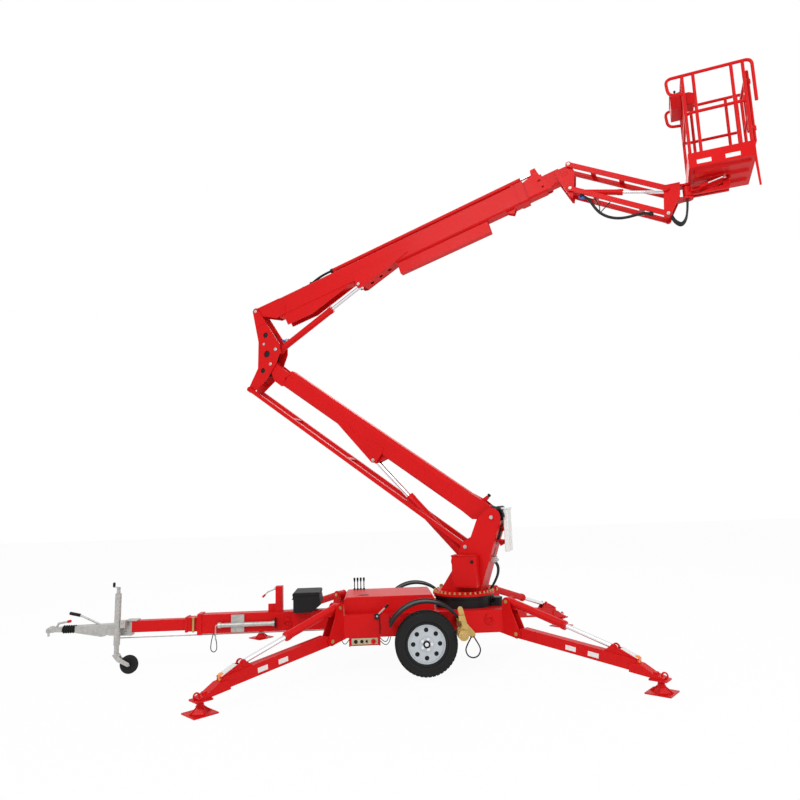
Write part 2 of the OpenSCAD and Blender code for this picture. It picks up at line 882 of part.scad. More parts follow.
module tele_rod() {
    end = upper_length;
    color("lightgray")
        upper_frame()
            difference() {
                union() {
                    translate([end - 2520, 0, 110])
                        rotate([0, 90, 0])
                            cylinder(r = 20, h = 2680);
                    across(end + 176, 107, 28, -40, 40);
                }
                across(end + 176, 107, 14, -50, 50);
            }
}

module boom_tip() {
    half = boom_half_width - 26;
    top = box_mid + upper_depth / 2 - 40;
    low = box_mid - upper_depth / 2 + 40;
    color("red")
        upper_frame()
            difference() {
                union() {
                    difference() {
                        along_x(tip_along - 2715, tip_along - 40)
                            polygon(folded(half, low, top, 10, 10));
                        along_x(tip_along - 2725, tip_along - 50)
                            polygon(folded(half - 8, low + 8, top - 8, 7, 7));
                    }
                    block([tip_along - 60, -half, box_mid - 40], [tip_along, half, box_mid + 40]);
                    across(tip_along, box_mid, 40, -half, half);
                    both_sides(half - 3, 9)
                        polygon([[tip_along - 150, box_mid - 80], [tip_along - 150, box_mid + 80], [tip_along, box_mid + 44],
                            [tip_along + 30, box_mid], [tip_along, box_mid - 44]]);
                }
                across(tip_along, box_mid, 25 + slip, -200, 200);
            }
}

module upper_barrel() {
    color("red")
        towards(knuckle_foot, upper_lug())
            barrel_shape(981, 45, 25, 22, 60);
}

module upper_rod() {
    color("lightgray")
        towards(knuckle_foot, upper_lug())
            translate([norm(upper_lug() - knuckle_foot), 0, 0])
                rod_shape(1300, 25, 30, 30);
}

function upper_lug() = [upper_x + upper_lug_along * cos(upper_rise) + upper_lug_drop * sin(upper_rise),
    upper_z + upper_lug_along * sin(upper_rise) - upper_lug_drop * cos(upper_rise)];

// Jib

module jib_base() {
    y = boom_half_width - 2;
    color("red")
        turned() {
            both_sides(y, 12) {
                polygon([[tip_x - 106, tip_z + 32], [tip_x + 32, tip_z + 66], [tip_x + 77, tip_z + 86], [tip_x + 128, tip_z - 14],
                    [jib_low[0] + 43, jib_low[1] + 9], [jib_low[0] + 21, jib_low[1] - 109], [jib_low[0] - 5, jib_low[1] - 97],
                    [tip_x - 60, tip_z - 98]]);
                for (p = [jib_top, jib_low])
                    translate(p)
                        circle(r = 36);
            }
            across(tip_x, tip_z, 25, -y - 20, y + 20);
            for (p = [jib_top, jib_low])
                across(p[0], p[1], 16, -arm_y - 18, arm_y + 18);
            block([tip_x + 60, -y - 1, tip_z - 35], [tip_x + 72, y + 1, tip_z + 31]);
            for (s = side_signs)
                across(tip_x + 8, tip_z - 10, 42, s < 0 ? -y - 16 : y + 11, s < 0 ? -y - 11 : y + 16);
        }
}

module jib_arm(p, q, side, ties) {
    color("red")
        towards(p, q)
            difference() {
                union() {
                    for (s = side_signs) {
                        block([0, s * arm_y - 12, -28], [jib_length, s * arm_y + 12, 28]);
                        across(0, 0, 34, s * arm_y - 12, s * arm_y + 12);
                        across(jib_length, 0, 34, s * arm_y - 12, s * arm_y + 12);
                    }
                    for (k = ties)
                        block([jib_length * k - 30, -arm_y, side * 20 - 6], [jib_length * k + 30, arm_y, side * 20 + 6]);
                }
                across(0, 0, 16 + slip, -200, 200);
                across(jib_length, 0, 16 + slip, -200, 200);
            }
}

module jib_upper_arm() { jib_arm(jib_top, head_top, 1, [0.25, 0.55]); }
module jib_lower_arm() { jib_arm(jib_low, head_low, -1, [0.28, 0.75]); }

module jib_barrel() {
    color("red")
        towards(jib_low, head_top)
            barrel_shape(590, 32, 18, 16, 45);
}

module jib_rod() {
    color("lightgray")
        towards(jib_low, head_top)
            translate([norm(head_top - jib_low), 0, 0])
                rod_shape(840, 18, 26, 25);
}

module jib_head() {
    y = boom_half_width - 2;
    x = head_top[0];
    z = head_top[1];
    color("red")
        turned() {
            both_sides(y, 12) {
                polygon([[x - 20, z + 44], [x + 148, z + 46], [x + 140, z - 98], [head_low[0] + 27, head_low[1] - 10],
                    [head_low[0] - 18, head_low[1] - 37], [head_low[0] - 44, head_low[1] + 10]]);
                for (p = [head_top, head_low])
                    translate(p)
                        circle(r = 36);
            }
            for (p = [head_top, head_low])
                for (s = side_signs)
                    across(p[0], p[1], 16, s < 0 ? -arm_y - 18 : y, s < 0 ? -y : arm_y + 18);
            block([x + 100, -y - 1, z - 130], [x + 112, y + 1, z + 38]);
            for (k = [z - 140, z + 15]) {
                flat(k, 20)
                    polygon([[x + 95, -y], [swing_x - 30, -52], [swing_x + 30, -52], [swing_x + 30, 52], [swing_x - 30, 52], [x + 95, y]]);
                translate([swing_x, 0, k])
                    cylinder(r = 60, h = 20);
            }
            translate([swing_x, 0, z - 150])
                cylinder(r = 22, h = 192);
        }
}

// A flat plate from z to z plus t, of an outline in X and Y
module flat(z, t) {
    translate([0, 0, z])
        linear_extrude(height = t)
            children();
}

// Basket

module basket_floor() {
    arm_low = head_top[1] - 110;
    wall = 6;
    color("red")
        turned() {
            difference() {
                block([basket_x, -basket_width / 2, floor_z], [basket_x + basket_length, basket_width / 2, floor_z + 165]);
                block([basket_x + wall, -basket_width / 2 + wall, floor_z + 8],
                    [basket_x + basket_length - wall, basket_width / 2 - wall, floor_z + 170]);
            }
            difference() {
                union() {
                    translate([swing_x, 0, arm_low])
                        cylinder(r = 45, h = 115);
                    for (s = side_signs)
                        block([swing_x, s * 35 - 15, arm_low], [swing_x + 420, s * 35 + 15, arm_low + 40]);
                    for (s = side_signs)
                        block([swing_x + 360, s * 35 - 15, arm_low], [swing_x + 420, s * 35 + 15, floor_z]);
                }
                translate([swing_x, 0, arm_low - 10])
                    cylinder(r = 22 + slip, h = 200);
            }
        }
}

module basket_frame() {
    w = post_y;
    a = basket_x + 25;
    b = basket_x + basket_length - 25;
    top = floor_z + rail_height;
    mid = floor_z + 640;
    color("red")
        turned() {
            for (s = side_signs) {
                for (x = [a, a + 110, b - 110, b])
                    tube([x, s * w, floor_z + 8.2], [x, s * w, top], rail_radius);
                tube([a - 90, s * w, top], [b + 90, s * w, top], rail_radius);
                tube([a, s * w, mid], [b, s * w, mid], rail_radius);
            }
            for (z = [top, mid])
                tube([a, -w, z], [a, w, z], rail_radius);
            for (y = [-80, 120])
                tube([a, y, mid], [a, y, top], rail_radius);
            for (z = [320, 860])
                difference() {
                    union() {
                        block([b, -w, floor_z + z], [gate_x, -w + 70, floor_z + z + 40]);
                        translate([gate_x, -w + 70, floor_z + z])
                            cylinder(r = rail_radius + 10, h = 40);
                    }
                    translate([gate_x, -w + 70, floor_z + z - 1])
                        cylinder(r = rail_radius + slip, h = 42);
                }
        }
}

module basket_gate() {
    w = post_y;
    b = gate_x;
    color("red")
        turned() {
            tube([b, -w + 70, floor_z + 200], [b, -w + 70, floor_z + 1000], rail_radius);
            tube([b, w - 70, floor_z + 200], [b, w - 70, floor_z + 1000], rail_radius);
            for (z = [200, 600, 1000])
                tube([b, -w + 70, floor_z + z], [b, w - 70, floor_z + z], rail_radius);
        }
}

module basket_control() {
    color("red")
        turned()
            block([basket_x - 100, -110, floor_z + 850], [basket_x + 25 - rail_radius - 0.2, 150, floor_z + 1020]);
}

chassis_frame();
drawbar();
coupling();
toolbox();
hood();
power_pack();
mudguards();
drive_units();
slew_drum();
ground_control();
spare_jack();
jockey_clamp();
jockey_leg();
jockey_wheel();
tyre_left();
tyre_right();
rim_left();
rim_right();
leg_front_left();
leg_front_right();
leg_rear_left();
leg_rear_right();
foot_front_left();
foot_front_right();
foot_rear_left();
foot_rear_right();
leg_barrel_front_left();
leg_barrel_front_right();
leg_barrel_rear_left();
leg_barrel_rear_right();
leg_rod_front_left();
leg_rod_front_right();
leg_rod_rear_left();
leg_rod_rear_right();
slew_ring();
mast();
mast_box();
lower_boom();
tie_rods();
lower_barrel();
lower_rod();
knuckle();
upper_boom();
tele_barrel();
boom_mid();
tele_rod();
boom_tip();
upper_barrel();
upper_rod();
jib_base();
jib_upper_arm();
jib_lower_arm();
jib_barrel();
jib_rod();
jib_head();
basket_floor();
basket_frame();
basket_gate();
basket_control();
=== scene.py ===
# %% [markdown]
# # A towable boom lift
# The CAD frame carries the welded structure. This lesson gives every surface its finish and adds the trim
# that a fitter would bolt on: hoses, bolts, grips, lamps, tread, rails and the coupling. Sizes in the
# helpers are millimetres, as on a workshop drawing, and become metres in one place.

# %% Load the frame
import json
import math

import bmesh
import bpy
from mathutils import Matrix, Vector


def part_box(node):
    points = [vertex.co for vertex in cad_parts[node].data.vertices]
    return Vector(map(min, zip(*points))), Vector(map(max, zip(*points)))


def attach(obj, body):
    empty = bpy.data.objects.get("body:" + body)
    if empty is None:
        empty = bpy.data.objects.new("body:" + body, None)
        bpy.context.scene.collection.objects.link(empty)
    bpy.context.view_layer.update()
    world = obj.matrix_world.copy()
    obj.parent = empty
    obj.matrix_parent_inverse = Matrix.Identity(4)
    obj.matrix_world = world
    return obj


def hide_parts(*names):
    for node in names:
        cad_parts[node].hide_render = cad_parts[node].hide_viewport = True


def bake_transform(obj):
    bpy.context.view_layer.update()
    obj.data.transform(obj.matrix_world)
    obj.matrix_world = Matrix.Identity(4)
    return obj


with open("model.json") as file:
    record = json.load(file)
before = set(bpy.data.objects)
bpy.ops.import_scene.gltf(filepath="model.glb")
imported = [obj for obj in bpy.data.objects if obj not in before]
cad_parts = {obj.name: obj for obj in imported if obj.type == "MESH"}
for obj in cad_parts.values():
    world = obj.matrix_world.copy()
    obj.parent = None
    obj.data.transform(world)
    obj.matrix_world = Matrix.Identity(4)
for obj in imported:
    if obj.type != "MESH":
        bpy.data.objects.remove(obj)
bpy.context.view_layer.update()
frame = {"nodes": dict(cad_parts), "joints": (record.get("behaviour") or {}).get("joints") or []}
scene = bpy.context.scene
scene.view_settings.view_transform = "Standard"
MM = 0.001
UP = Vector((0, 0, 1))

# %% [markdown]
# ## Where the members lie
# The record gives each hinge's pivot and axis. A frame on each member follows from two of them, so trim can
# be placed along a boom or a leg without measuring it again.

# %% Frames on the members
joints = {joint["name"]: joint for joint in frame["joints"]}


def pivot(name):
    return Vector(joints[name]["pos_m"])


def axis(name):
    return Vector(joints[name]["axis"]).normalized()


def placed(origin, along, across):
    along = along.normalized()
    across = across.normalized()
    matrix = Matrix((along, across, along.cross(across))).transposed().to_4x4()
    matrix.translation = origin
    return matrix


def spot(place, point):
    return place @ (Vector(point) * MM)


GROUND = Matrix.Identity(4)
across_boom = axis("lower_boom_lift")
slew_centre = pivot("slew")
turned = placed(Vector((slew_centre.x, slew_centre.y, 0)), across_boom.cross(UP), across_boom)
boom_foot = pivot("lower_boom_lift")
lower_boom = placed(boom_foot, boom_foot - pivot("knuckle_level"), across_boom)
upper_boom = placed(pivot("upper_boom_lift"), axis("telescope"), across_boom)
knuckle = placed(pivot("knuckle_level"), across_boom.cross(UP), across_boom)
jib_arm = placed(pivot("jib_lift"), pivot("jib_head_level") - pivot("jib_lift"), across_boom)
lower_ram = placed(pivot("lower_barrel_swing"), axis("lower_rod_slide"), across_boom)
upper_ram = placed(pivot("upper_barrel_swing"), axis("upper_rod_slide"), across_boom)
CORNERS = ["front_left", "front_right", "rear_left", "rear_right"]


def leg_place(corner):
    hinge = axis(f"leg_{corner}_lift")
    outward = UP.cross(hinge)
    foot = pivot(f"leg_{corner}_lift")
    return placed(Vector((foot.x, foot.y, 0)), outward, UP.cross(outward))


def local(place, point):
    return (place.inverted() @ Vector(point)) / MM


swing = local(turned, pivot("basket_turn"))
print("basket swings at", [round(value) for value in swing])

# %% [markdown]
# ## Camera
# The viewpoint was solved from the photograph: low, near the axle, looking slightly up, with a small roll.

# %% Camera
VIEW_FROM = Vector((-0.529, -7.643, 1.843))
YAW, PITCH, ROLL = math.radians(-2.751), math.radians(8.94), math.radians(-1.704)
LENS = 28.335

ahead = Vector((-math.sin(YAW), math.cos(YAW), 0))
right = Vector((math.cos(YAW), math.sin(YAW), 0))
look = ahead * math.cos(PITCH) + UP * math.sin(PITCH)
rise = UP * math.cos(PITCH) - ahead * math.sin(PITCH)
side = right * math.cos(ROLL) + rise * math.sin(ROLL)
top = rise * math.cos(ROLL) - right * math.sin(ROLL)
camera_data = bpy.data.cameras.new("camera")
camera_data.lens = LENS
camera_data.sensor_width = 36
camera = bpy.data.objects.new("camera", camera_data)
camera.matrix_world = Matrix.Translation(VIEW_FROM) @ Matrix((side, top, -look)).transposed().to_4x4()
scene.collection.objects.link(camera)
scene.camera = camera

# %% [markdown]
# ## Studio
# The photograph is a cut-out on white. The world is white to the camera and to gloss, and gives a soft even
# light to the rest. Three broad lamps add shape.

# %% World, floor and lamps
SKY_LIGHT = 0.5
FLOOR_SIZE = 60.0
FLOOR_GLOW = 0.955


def seen_or_mirrored(tree):
    rays = tree.nodes.new("ShaderNodeLightPath")
    first = tree.nodes.new("ShaderNodeMath")
    first.operation = "MAXIMUM"
    tree.links.new(rays.outputs["Is Camera Ray"], first.inputs[0])
    tree.links.new(rays.outputs["Is Transmission Ray"], first.inputs[1])
    second = tree.nodes.new("ShaderNodeMath")
    second.operation = "MAXIMUM"
    tree.links.new(first.outputs[0], second.inputs[0])
    tree.links.new(rays.outputs["Is Glossy Ray"], second.inputs[1])
    return second.outputs[0]


world = bpy.data.worlds.new("white studio")
world.use_nodes = True
scene.world = world
sky = world.node_tree
backdrop = sky.nodes["Background"]
backdrop.inputs["Color"].default_value = (1, 1, 1, 1)
level = sky.nodes.new("ShaderNodeMapRange")
level.inputs["To Min"].default_value = SKY_LIGHT
level.inputs["To Max"].default_value = 1.0
sky.links.new(seen_or_mirrored(sky), level.inputs["Value"])
sky.links.new(level.outputs["Result"], backdrop.inputs["Strength"])

floor_paint = bpy.data.materials.new("pale_floor")
floor_paint.use_nodes = True
tree = floor_paint.node_tree
shade = tree.nodes["Principled BSDF"]
shade.inputs["Base Color"].default_value = (0.95, 0.95, 0.95, 1)
shade.inputs["Roughness"].default_value = 0.9
glow = tree.nodes.new("ShaderNodeEmission")
glow.inputs["Color"].default_value = (1, 1, 1, 1)
part_seen = tree.nodes.new("ShaderNodeMath")
part_seen.operation = "MULTIPLY"
part_seen.inputs[1].default_value = FLOOR_GLOW
tree.links.new(seen_or_mirrored(tree), part_seen.inputs[0])
both = tree.nodes.new("ShaderNodeMixShader")
tree.links.new(part_seen.outputs[0], both.inputs[0])
tree.links.new(shade.outputs[0], both.inputs[1])
tree.links.new(glow.outputs[0], both.inputs[2])
tree.links.new(both.outputs[0], tree.nodes["Material Output"].inputs["Surface"])
floor_mesh = bpy.data.meshes.new("floor")
half = FLOOR_SIZE / 2
corners = [(-half, -half, 0), (half, -half, 0), (half, half, 0), (-half, half, 0)]
floor_mesh.from_pydata(corners, [], [(0, 1, 2, 3)])
floor_mesh.materials.append(floor_paint)
floor = bpy.data.objects.new("floor", floor_mesh)
scene.collection.objects.link(floor)


def lamp(name, place, aim, size, power):
    data = bpy.data.lights.new(name, "AREA")
    data.size = size
    data.energy = power
    light = bpy.data.objects.new(name, data)
    light.location = place
    light.rotation_euler = (Vector(aim) - Vector(place)).to_track_quat("-Z", "Y").to_euler()
    scene.collection.objects.link(light)


lamp("key", (-5, -9, 9), (0, 0, 2), 6.0, 640)
lamp("fill", (7, -7, 5), (0, 0, 2), 5.0, 260)
lamp("back", (2, 8, 9), (0, 0, 2.5), 5.0, 240)

# %% [markdown]
# ## Finishes
# Each finish starts from noise on Object coordinates, so that it stays put on every piece. A wide cloud
# shifts the tone, a fine grain breaks the gloss, and a bump gives the skin: orange peel on paint, pebble on
# plastic, spangle on galvanised steel.


# %% Materials
def finish(name, colour, rough, metal=0.0, tone=0.1, grain=60.0, bump=0.05, spots=None, cells=False, coat=0.0,
           shine=0.5):
    paint = bpy.data.materials.new(name)
    paint.use_nodes = True
    nodes = paint.node_tree.nodes
    links = paint.node_tree.links
    skin = nodes["Principled BSDF"]
    skin.inputs["Metallic"].default_value = metal
    skin.inputs["Coat Weight"].default_value = coat
    skin.inputs["Coat Roughness"].default_value = 0.12
    skin.inputs["Specular IOR Level"].default_value = shine
    where = nodes.new("ShaderNodeTexCoord")
    cloud = nodes.new("ShaderNodeTexNoise")
    cloud.inputs["Scale"].default_value = 3.0
    cloud.inputs["Detail"].default_value = 6.0
    if cells:
        fine = nodes.new("ShaderNodeTexVoronoi")
        fine.inputs["Scale"].default_value = grain
        grain_out = fine.outputs["Color"]
    else:
        fine = nodes.new("ShaderNodeTexNoise")
        fine.inputs["Scale"].default_value = grain
        fine.inputs["Detail"].default_value = 4.0
        grain_out = fine.outputs["Fac"]
    links.new(where.outputs["Object"], cloud.inputs["Vector"])
    links.new(where.outputs["Object"], fine.inputs["Vector"])
    shades = nodes.new("ShaderNodeMix")
    shades.data_type = "RGBA"
    shades.inputs["A"].default_value = (*[value * (1 - tone) for value in colour], 1)
    shades.inputs["B"].default_value = (*[min(1.0, value * (1 + tone)) for value in colour], 1)
    links.new((grain_out if cells else cloud.outputs["Fac"]), shades.inputs["Factor"])
    colour_out = shades.outputs["Result"]
    if spots:
        mark = nodes.new("ShaderNodeTexNoise")
        mark.inputs["Scale"].default_value = 9.0
        mark.inputs["Detail"].default_value = 9.0
        links.new(where.outputs["Object"], mark.inputs["Vector"])
        edge = nodes.new("ShaderNodeMapRange")
        edge.inputs["From Min"].default_value = 0.62
        edge.inputs["From Max"].default_value = 0.8
        edge.inputs["To Max"].default_value = 0.55
        links.new(mark.outputs["Fac"], edge.inputs["Value"])
        stain = nodes.new("ShaderNodeMix")
        stain.data_type = "RGBA"
        stain.inputs["B"].default_value = (*spots, 1)
        links.new(edge.outputs["Result"], stain.inputs["Factor"])
        links.new(colour_out, stain.inputs["A"])
        colour_out = stain.outputs["Result"]
    links.new(colour_out, skin.inputs["Base Color"])
    gloss = nodes.new("ShaderNodeMapRange")
    gloss.inputs["To Min"].default_value = rough * 0.8
    gloss.inputs["To Max"].default_value = min(1.0, rough * 1.25)
    links.new(cloud.outputs["Fac"], gloss.inputs["Value"])
    links.new(gloss.outputs["Result"], skin.inputs["Roughness"])
    relief = nodes.new("ShaderNodeBump")
    relief.inputs["Strength"].default_value = bump
    relief.inputs["Distance"].default_value = 0.002
    links.new(grain_out, relief.inputs["Height"])
    links.new(relief.outputs["Normal"], skin.inputs["Normal"])
    return paint


red = finish("red_paint", (0.64, 0.006, 0.007), 0.38, tone=0.08, grain=120.0, bump=0.012, coat=0.03,
             shine=0.12, spots=(0.54, 0.006, 0.006))
black = finish("black_paint", (0.010, 0.010, 0.011), 0.45, tone=0.25, grain=180.0, bump=0.03, shine=0.2,
               spots=(0.022, 0.022, 0.022))
zinc_grey = finish("galvanised", (0.46, 0.45, 0.43), 0.42, metal=0.55, tone=0.16, grain=42.0, bump=0.05,
                   cells=True, spots=(0.32, 0.32, 0.30))
chrome = finish("chrome", (0.78, 0.79, 0.81), 0.14, metal=1.0, tone=0.05, grain=320.0, bump=0.004)
rubber = finish("tyre_rubber", (0.012, 0.012, 0.012), 0.75, tone=0.3, grain=140.0, bump=0.15, shine=0.25,
                spots=(0.028, 0.027, 0.025))
silver = finish("rim_paint", (0.50, 0.54, 0.57), 0.34, metal=0.4, tone=0.06, grain=300.0, bump=0.04,
                spots=(0.36, 0.36, 0.35))
plastic = finish("black_plastic", (0.009, 0.009, 0.010), 0.55, tone=0.2, grain=420.0, bump=0.08,
                 cells=True, shine=0.2)
yellow_zinc = finish("zinc_plate", (0.56, 0.38, 0.13), 0.36, metal=0.7, tone=0.3, grain=90.0, bump=0.06,
                     spots=(0.42, 0.25, 0.16))
hose_rubber = finish("hose_rubber", (0.012, 0.012, 0.013), 0.5, tone=0.2, grain=500.0, bump=0.08, shine=0.25)
amber = finish("amber_lens", (0.95, 0.28, 0.015), 0.18, tone=0.15, grain=220.0, bump=0.25, coat=0.5)
white = finish("white_plastic", (0.80, 0.80, 0.78), 0.45, tone=0.04, grain=300.0, bump=0.08,
               spots=(0.66, 0.65, 0.62))
blue = finish("blue_coil", (0.02, 0.10, 0.42), 0.35, tone=0.15, grain=240.0, bump=0.1)
beige = finish("panel_beige", (0.55, 0.47, 0.30), 0.5, tone=0.06, grain=300.0, bump=0.1,
               spots=(0.44, 0.37, 0.23))

# %% [markdown]
# ## Dressing the CAD nodes
# Most of the machine is red paint. A short table names the nodes that aren't.

# %% Finish of each CAD node
NODE_FINISH = {
    "mudguards": black, "slew_drum": black, "toolbox": black, "power_pack": black,
    "coupling": zinc_grey, "spare_jack": zinc_grey, "jockey_clamp": zinc_grey, "jockey_leg": zinc_grey,
    "jockey_wheel": rubber, "tyre_left": rubber, "tyre_right": rubber,
    "rim_left": silver, "rim_right": silver, "drive_units": yellow_zinc,
    "lower_rod": chrome, "upper_rod": chrome, "tele_rod": chrome, "jib_rod": chrome,
    **{f"leg_rod_{corner}": chrome for corner in CORNERS},
}
for name, node in frame["nodes"].items():
    node.data.materials.clear()
    node.data.materials.append(NODE_FINISH.get(name, red))

# %% [markdown]
# ## Small tools for solid trim
# A trim piece is one mesh of a few welded shapes: plates with an outline, bars, turned profiles. A narrow
# bevel catches the light on its edges.


# %% Mesh helpers
def add_box(shape, place, low, high):
    low, high = Vector(low) * MM, Vector(high) * MM
    size = Matrix.Diagonal((*(high - low), 1))
    made = bmesh.ops.create_cube(shape, size=1.0)
    matrix = place @ Matrix.Translation((low + high) / 2) @ size
    bmesh.ops.transform(shape, verts=made["verts"], matrix=matrix)


def add_bar(shape, place, start, end, radius, tip=None, sides=24):
    start, end = spot(place, start), spot(place, end)
    way = end - start
    made = bmesh.ops.create_cone(shape, cap_ends=True, segments=sides, depth=way.length, radius1=radius * MM,
                                 radius2=(radius if tip is None else tip) * MM)
    turn = way.to_track_quat("Z", "Y").to_matrix().to_4x4()
    bmesh.ops.transform(shape, verts=made["verts"], matrix=Matrix.Translation((start + end) / 2) @ turn)


def add_plate(shape, place, outline, y0, y1):
    near = [shape.verts.new(spot(place, (x, y0, z))) for x, z in outline]
    far = [shape.verts.new(spot(place, (x, y1, z))) for x, z in outline]
    shape.faces.new(near)
    shape.faces.new(list(reversed(far)))
    for k in range(len(near)):
        j = (k + 1) % len(near)
        shape.faces.new([near[k], far[k], far[j], near[j]])


def add_turned(shape, place, start, way, profile, sides=32, ring=False):
    """A profile of (along, radius) pairs, turned about the line from start along way: a solid, or a ring."""
    turn = (place.to_3x3() @ Vector(way)).to_track_quat("Z", "Y").to_matrix().to_4x4()
    matrix = Matrix.Translation(spot(place, start)) @ turn
    hoops = []
    for along, radius in profile:
        hoop = []
        for k in range(sides):
            angle = 2 * math.pi * k / sides
            point = Vector((radius * math.cos(angle), radius * math.sin(angle), along)) * MM
            hoop.append(shape.verts.new(matrix @ point))
        hoops.append(hoop)
    for low, high in zip(hoops, hoops[1:] + hoops[:1] if ring else hoops[1:]):
        for k in range(sides):
            j = (k + 1) % sides
            shape.faces.new([low[k], low[j], high[j], high[k]])
    if not ring:
        shape.faces.new(list(reversed(hoops[0])))
        shape.faces.new(hoops[-1])


def settle(name, mesh, paint, body, soften=0.0):
    piece = bpy.data.objects.new(name, mesh)
    scene.collection.objects.link(piece)
    if not mesh.materials:
        mesh.materials.append(paint)
    mesh.shade_smooth()
    mesh.set_sharp_from_angle(angle=math.radians(35))
    if soften:
        edge = piece.modifiers.new("soft edges", "BEVEL")
        edge.width = soften * MM
        edge.segments = 2
        edge.limit_method = "ANGLE"
    if body:
        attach(piece, body)
    print(name, len(mesh.polygons), "faces")
    return piece


def make(name, shape, paint, body, soften=1.5):
    bmesh.ops.recalc_face_normals(shape, faces=shape.faces)
    mesh = bpy.data.meshes.new(name)
    shape.to_mesh(mesh)
    shape.free()
    return settle(name, mesh, paint, body, soften)


def make_turned(name, place, start, way, profile, paint, body, sides=32, ring=False):
    shape = bmesh.new()
    add_turned(shape, place, start, way, profile, sides, ring)
    return make(name, shape, paint, body, 0)


# %% [markdown]
# ## Rules in Geometry Nodes
# Three trees do the repeating work: hex heads set on points, blocks set on points for tread, and a pipe
# along a path for rails and hoses. Each is turned into a plain mesh once it is right.


# %% Trees
def new_tree(name, sizes):
    tree = bpy.data.node_groups.new(name, "GeometryNodeTree")
    tree.interface.new_socket("Geometry", in_out="INPUT", socket_type="NodeSocketGeometry")
    keys = {}
    for label, kind in sizes:
        keys[label] = tree.interface.new_socket(label, in_out="INPUT", socket_type=kind).identifier
    tree.interface.new_socket("Geometry", in_out="OUTPUT", socket_type="NodeSocketGeometry")
    return tree, keys, tree.nodes.new("NodeGroupInput"), tree.nodes.new("NodeGroupOutput")


def finish_tree(tree, source, begin, end):
    """Realize, paint and hand over: the mesh handed over keeps no instances."""
    real = tree.nodes.new("GeometryNodeRealizeInstances")
    coat = tree.nodes.new("GeometryNodeSetMaterial")
    tree.links.new(source, real.inputs["Geometry"])
    tree.links.new(real.outputs["Geometry"], coat.inputs["Geometry"])
    tree.links.new(begin.outputs["Finish"], coat.inputs["Material"])
    tree.links.new(coat.outputs["Geometry"], end.inputs["Geometry"])


def named_vector(tree, name):
    node = tree.nodes.new("GeometryNodeInputNamedAttribute")
    node.data_type = "FLOAT_VECTOR"
    node.inputs["Name"].default_value = name
    return node.outputs["Attribute"]


def aimed(tree, axis_name, vector, rotation=None, pivot_axis="AUTO"):
    node = tree.nodes.new("FunctionNodeAlignRotationToVector")
    node.axis = axis_name
    node.pivot_axis = pivot_axis
    tree.links.new(vector, node.inputs["Vector"])
    if rotation is not None:
        tree.links.new(rotation, node.inputs["Rotation"])
    return node.outputs["Rotation"]


FLOAT, VECTOR, MATERIAL = "NodeSocketFloat", "NodeSocketVector", "NodeSocketMaterial"
head_inputs = [("Radius", FLOAT), ("Height", FLOAT), ("Finish", MATERIAL)]
heads_tree, heads_keys, begin, end = new_tree("hex heads", head_inputs)
head = heads_tree.nodes.new("GeometryNodeMeshCylinder")
head.inputs["Vertices"].default_value = 6
washer = heads_tree.nodes.new("GeometryNodeMeshCylinder")
washer.inputs["Vertices"].default_value = 20
for solid, wider, lower in ((head, 1.0, 1.0), (washer, 1.45, 0.3)):
    for label, share in (("Radius", wider), ("Height", lower)):
        size = heads_tree.nodes.new("ShaderNodeMath")
        size.operation = "MULTIPLY"
        size.inputs[1].default_value = share
        heads_tree.links.new(begin.outputs[label], size.inputs[0])
        heads_tree.links.new(size.outputs[0], solid.inputs["Depth" if label == "Height" else "Radius"])
stack = heads_tree.nodes.new("GeometryNodeJoinGeometry")
heads_tree.links.new(head.outputs["Mesh"], stack.inputs[0])
heads_tree.links.new(washer.outputs["Mesh"], stack.inputs[0])
heads = heads_tree.nodes.new("GeometryNodeInstanceOnPoints")
heads_tree.links.new(begin.outputs["Geometry"], heads.inputs["Points"])
heads_tree.links.new(stack.outputs[0], heads.inputs["Instance"])
heads_tree.links.new(aimed(heads_tree, "Z", named_vector(heads_tree, "facing")), heads.inputs["Rotation"])
finish_tree(heads_tree, heads.outputs["Instances"], begin, end)

blocks_tree, blocks_keys, begin, end = new_tree("blocks", [("Size", VECTOR), ("Finish", MATERIAL)])
brick = blocks_tree.nodes.new("GeometryNodeMeshCube")
blocks_tree.links.new(begin.outputs["Size"], brick.inputs["Size"])
bricks = blocks_tree.nodes.new("GeometryNodeInstanceOnPoints")
upright = aimed(blocks_tree, "Z", named_vector(blocks_tree, "facing"))
blocks_tree.links.new(begin.outputs["Geometry"], bricks.inputs["Points"])
blocks_tree.links.new(brick.outputs["Mesh"], bricks.inputs["Instance"])
squared = aimed(blocks_tree, "Y", named_vector(blocks_tree, "side"), upright, "Z")
blocks_tree.links.new(squared, bricks.inputs["Rotation"])
finish_tree(blocks_tree, bricks.outputs["Instances"], begin, end)

pipes_tree, pipes_keys, begin, end = new_tree("pipes", [("Radius", FLOAT), ("Finish", MATERIAL)])
round_wall = pipes_tree.nodes.new("GeometryNodeCurvePrimitiveCircle")
round_wall.inputs["Resolution"].default_value = 14
pipes_tree.links.new(begin.outputs["Radius"], round_wall.inputs["Radius"])
sweep = pipes_tree.nodes.new("GeometryNodeCurveToMesh")
sweep.inputs["Fill Caps"].default_value = True
pipes_tree.links.new(begin.outputs["Geometry"], sweep.inputs["Curve"])
pipes_tree.links.new(round_wall.outputs["Curve"], sweep.inputs["Profile Curve"])
finish_tree(pipes_tree, sweep.outputs["Mesh"], begin, end)


def grown(name, seed, tree, settings, body, paint):
    base = bpy.data.objects.new(name + ".seed", seed)
    scene.collection.objects.link(base)
    rule = base.modifiers.new("rule", "NODES")
    rule.node_group = tree
    for key, value in settings.items():
        rule[key] = value
    mesh = bpy.data.meshes.new_from_object(base.evaluated_get(bpy.context.evaluated_depsgraph_get()))
    bpy.data.objects.remove(base)
    mesh.name = name
    return settle(name, mesh, paint, body)


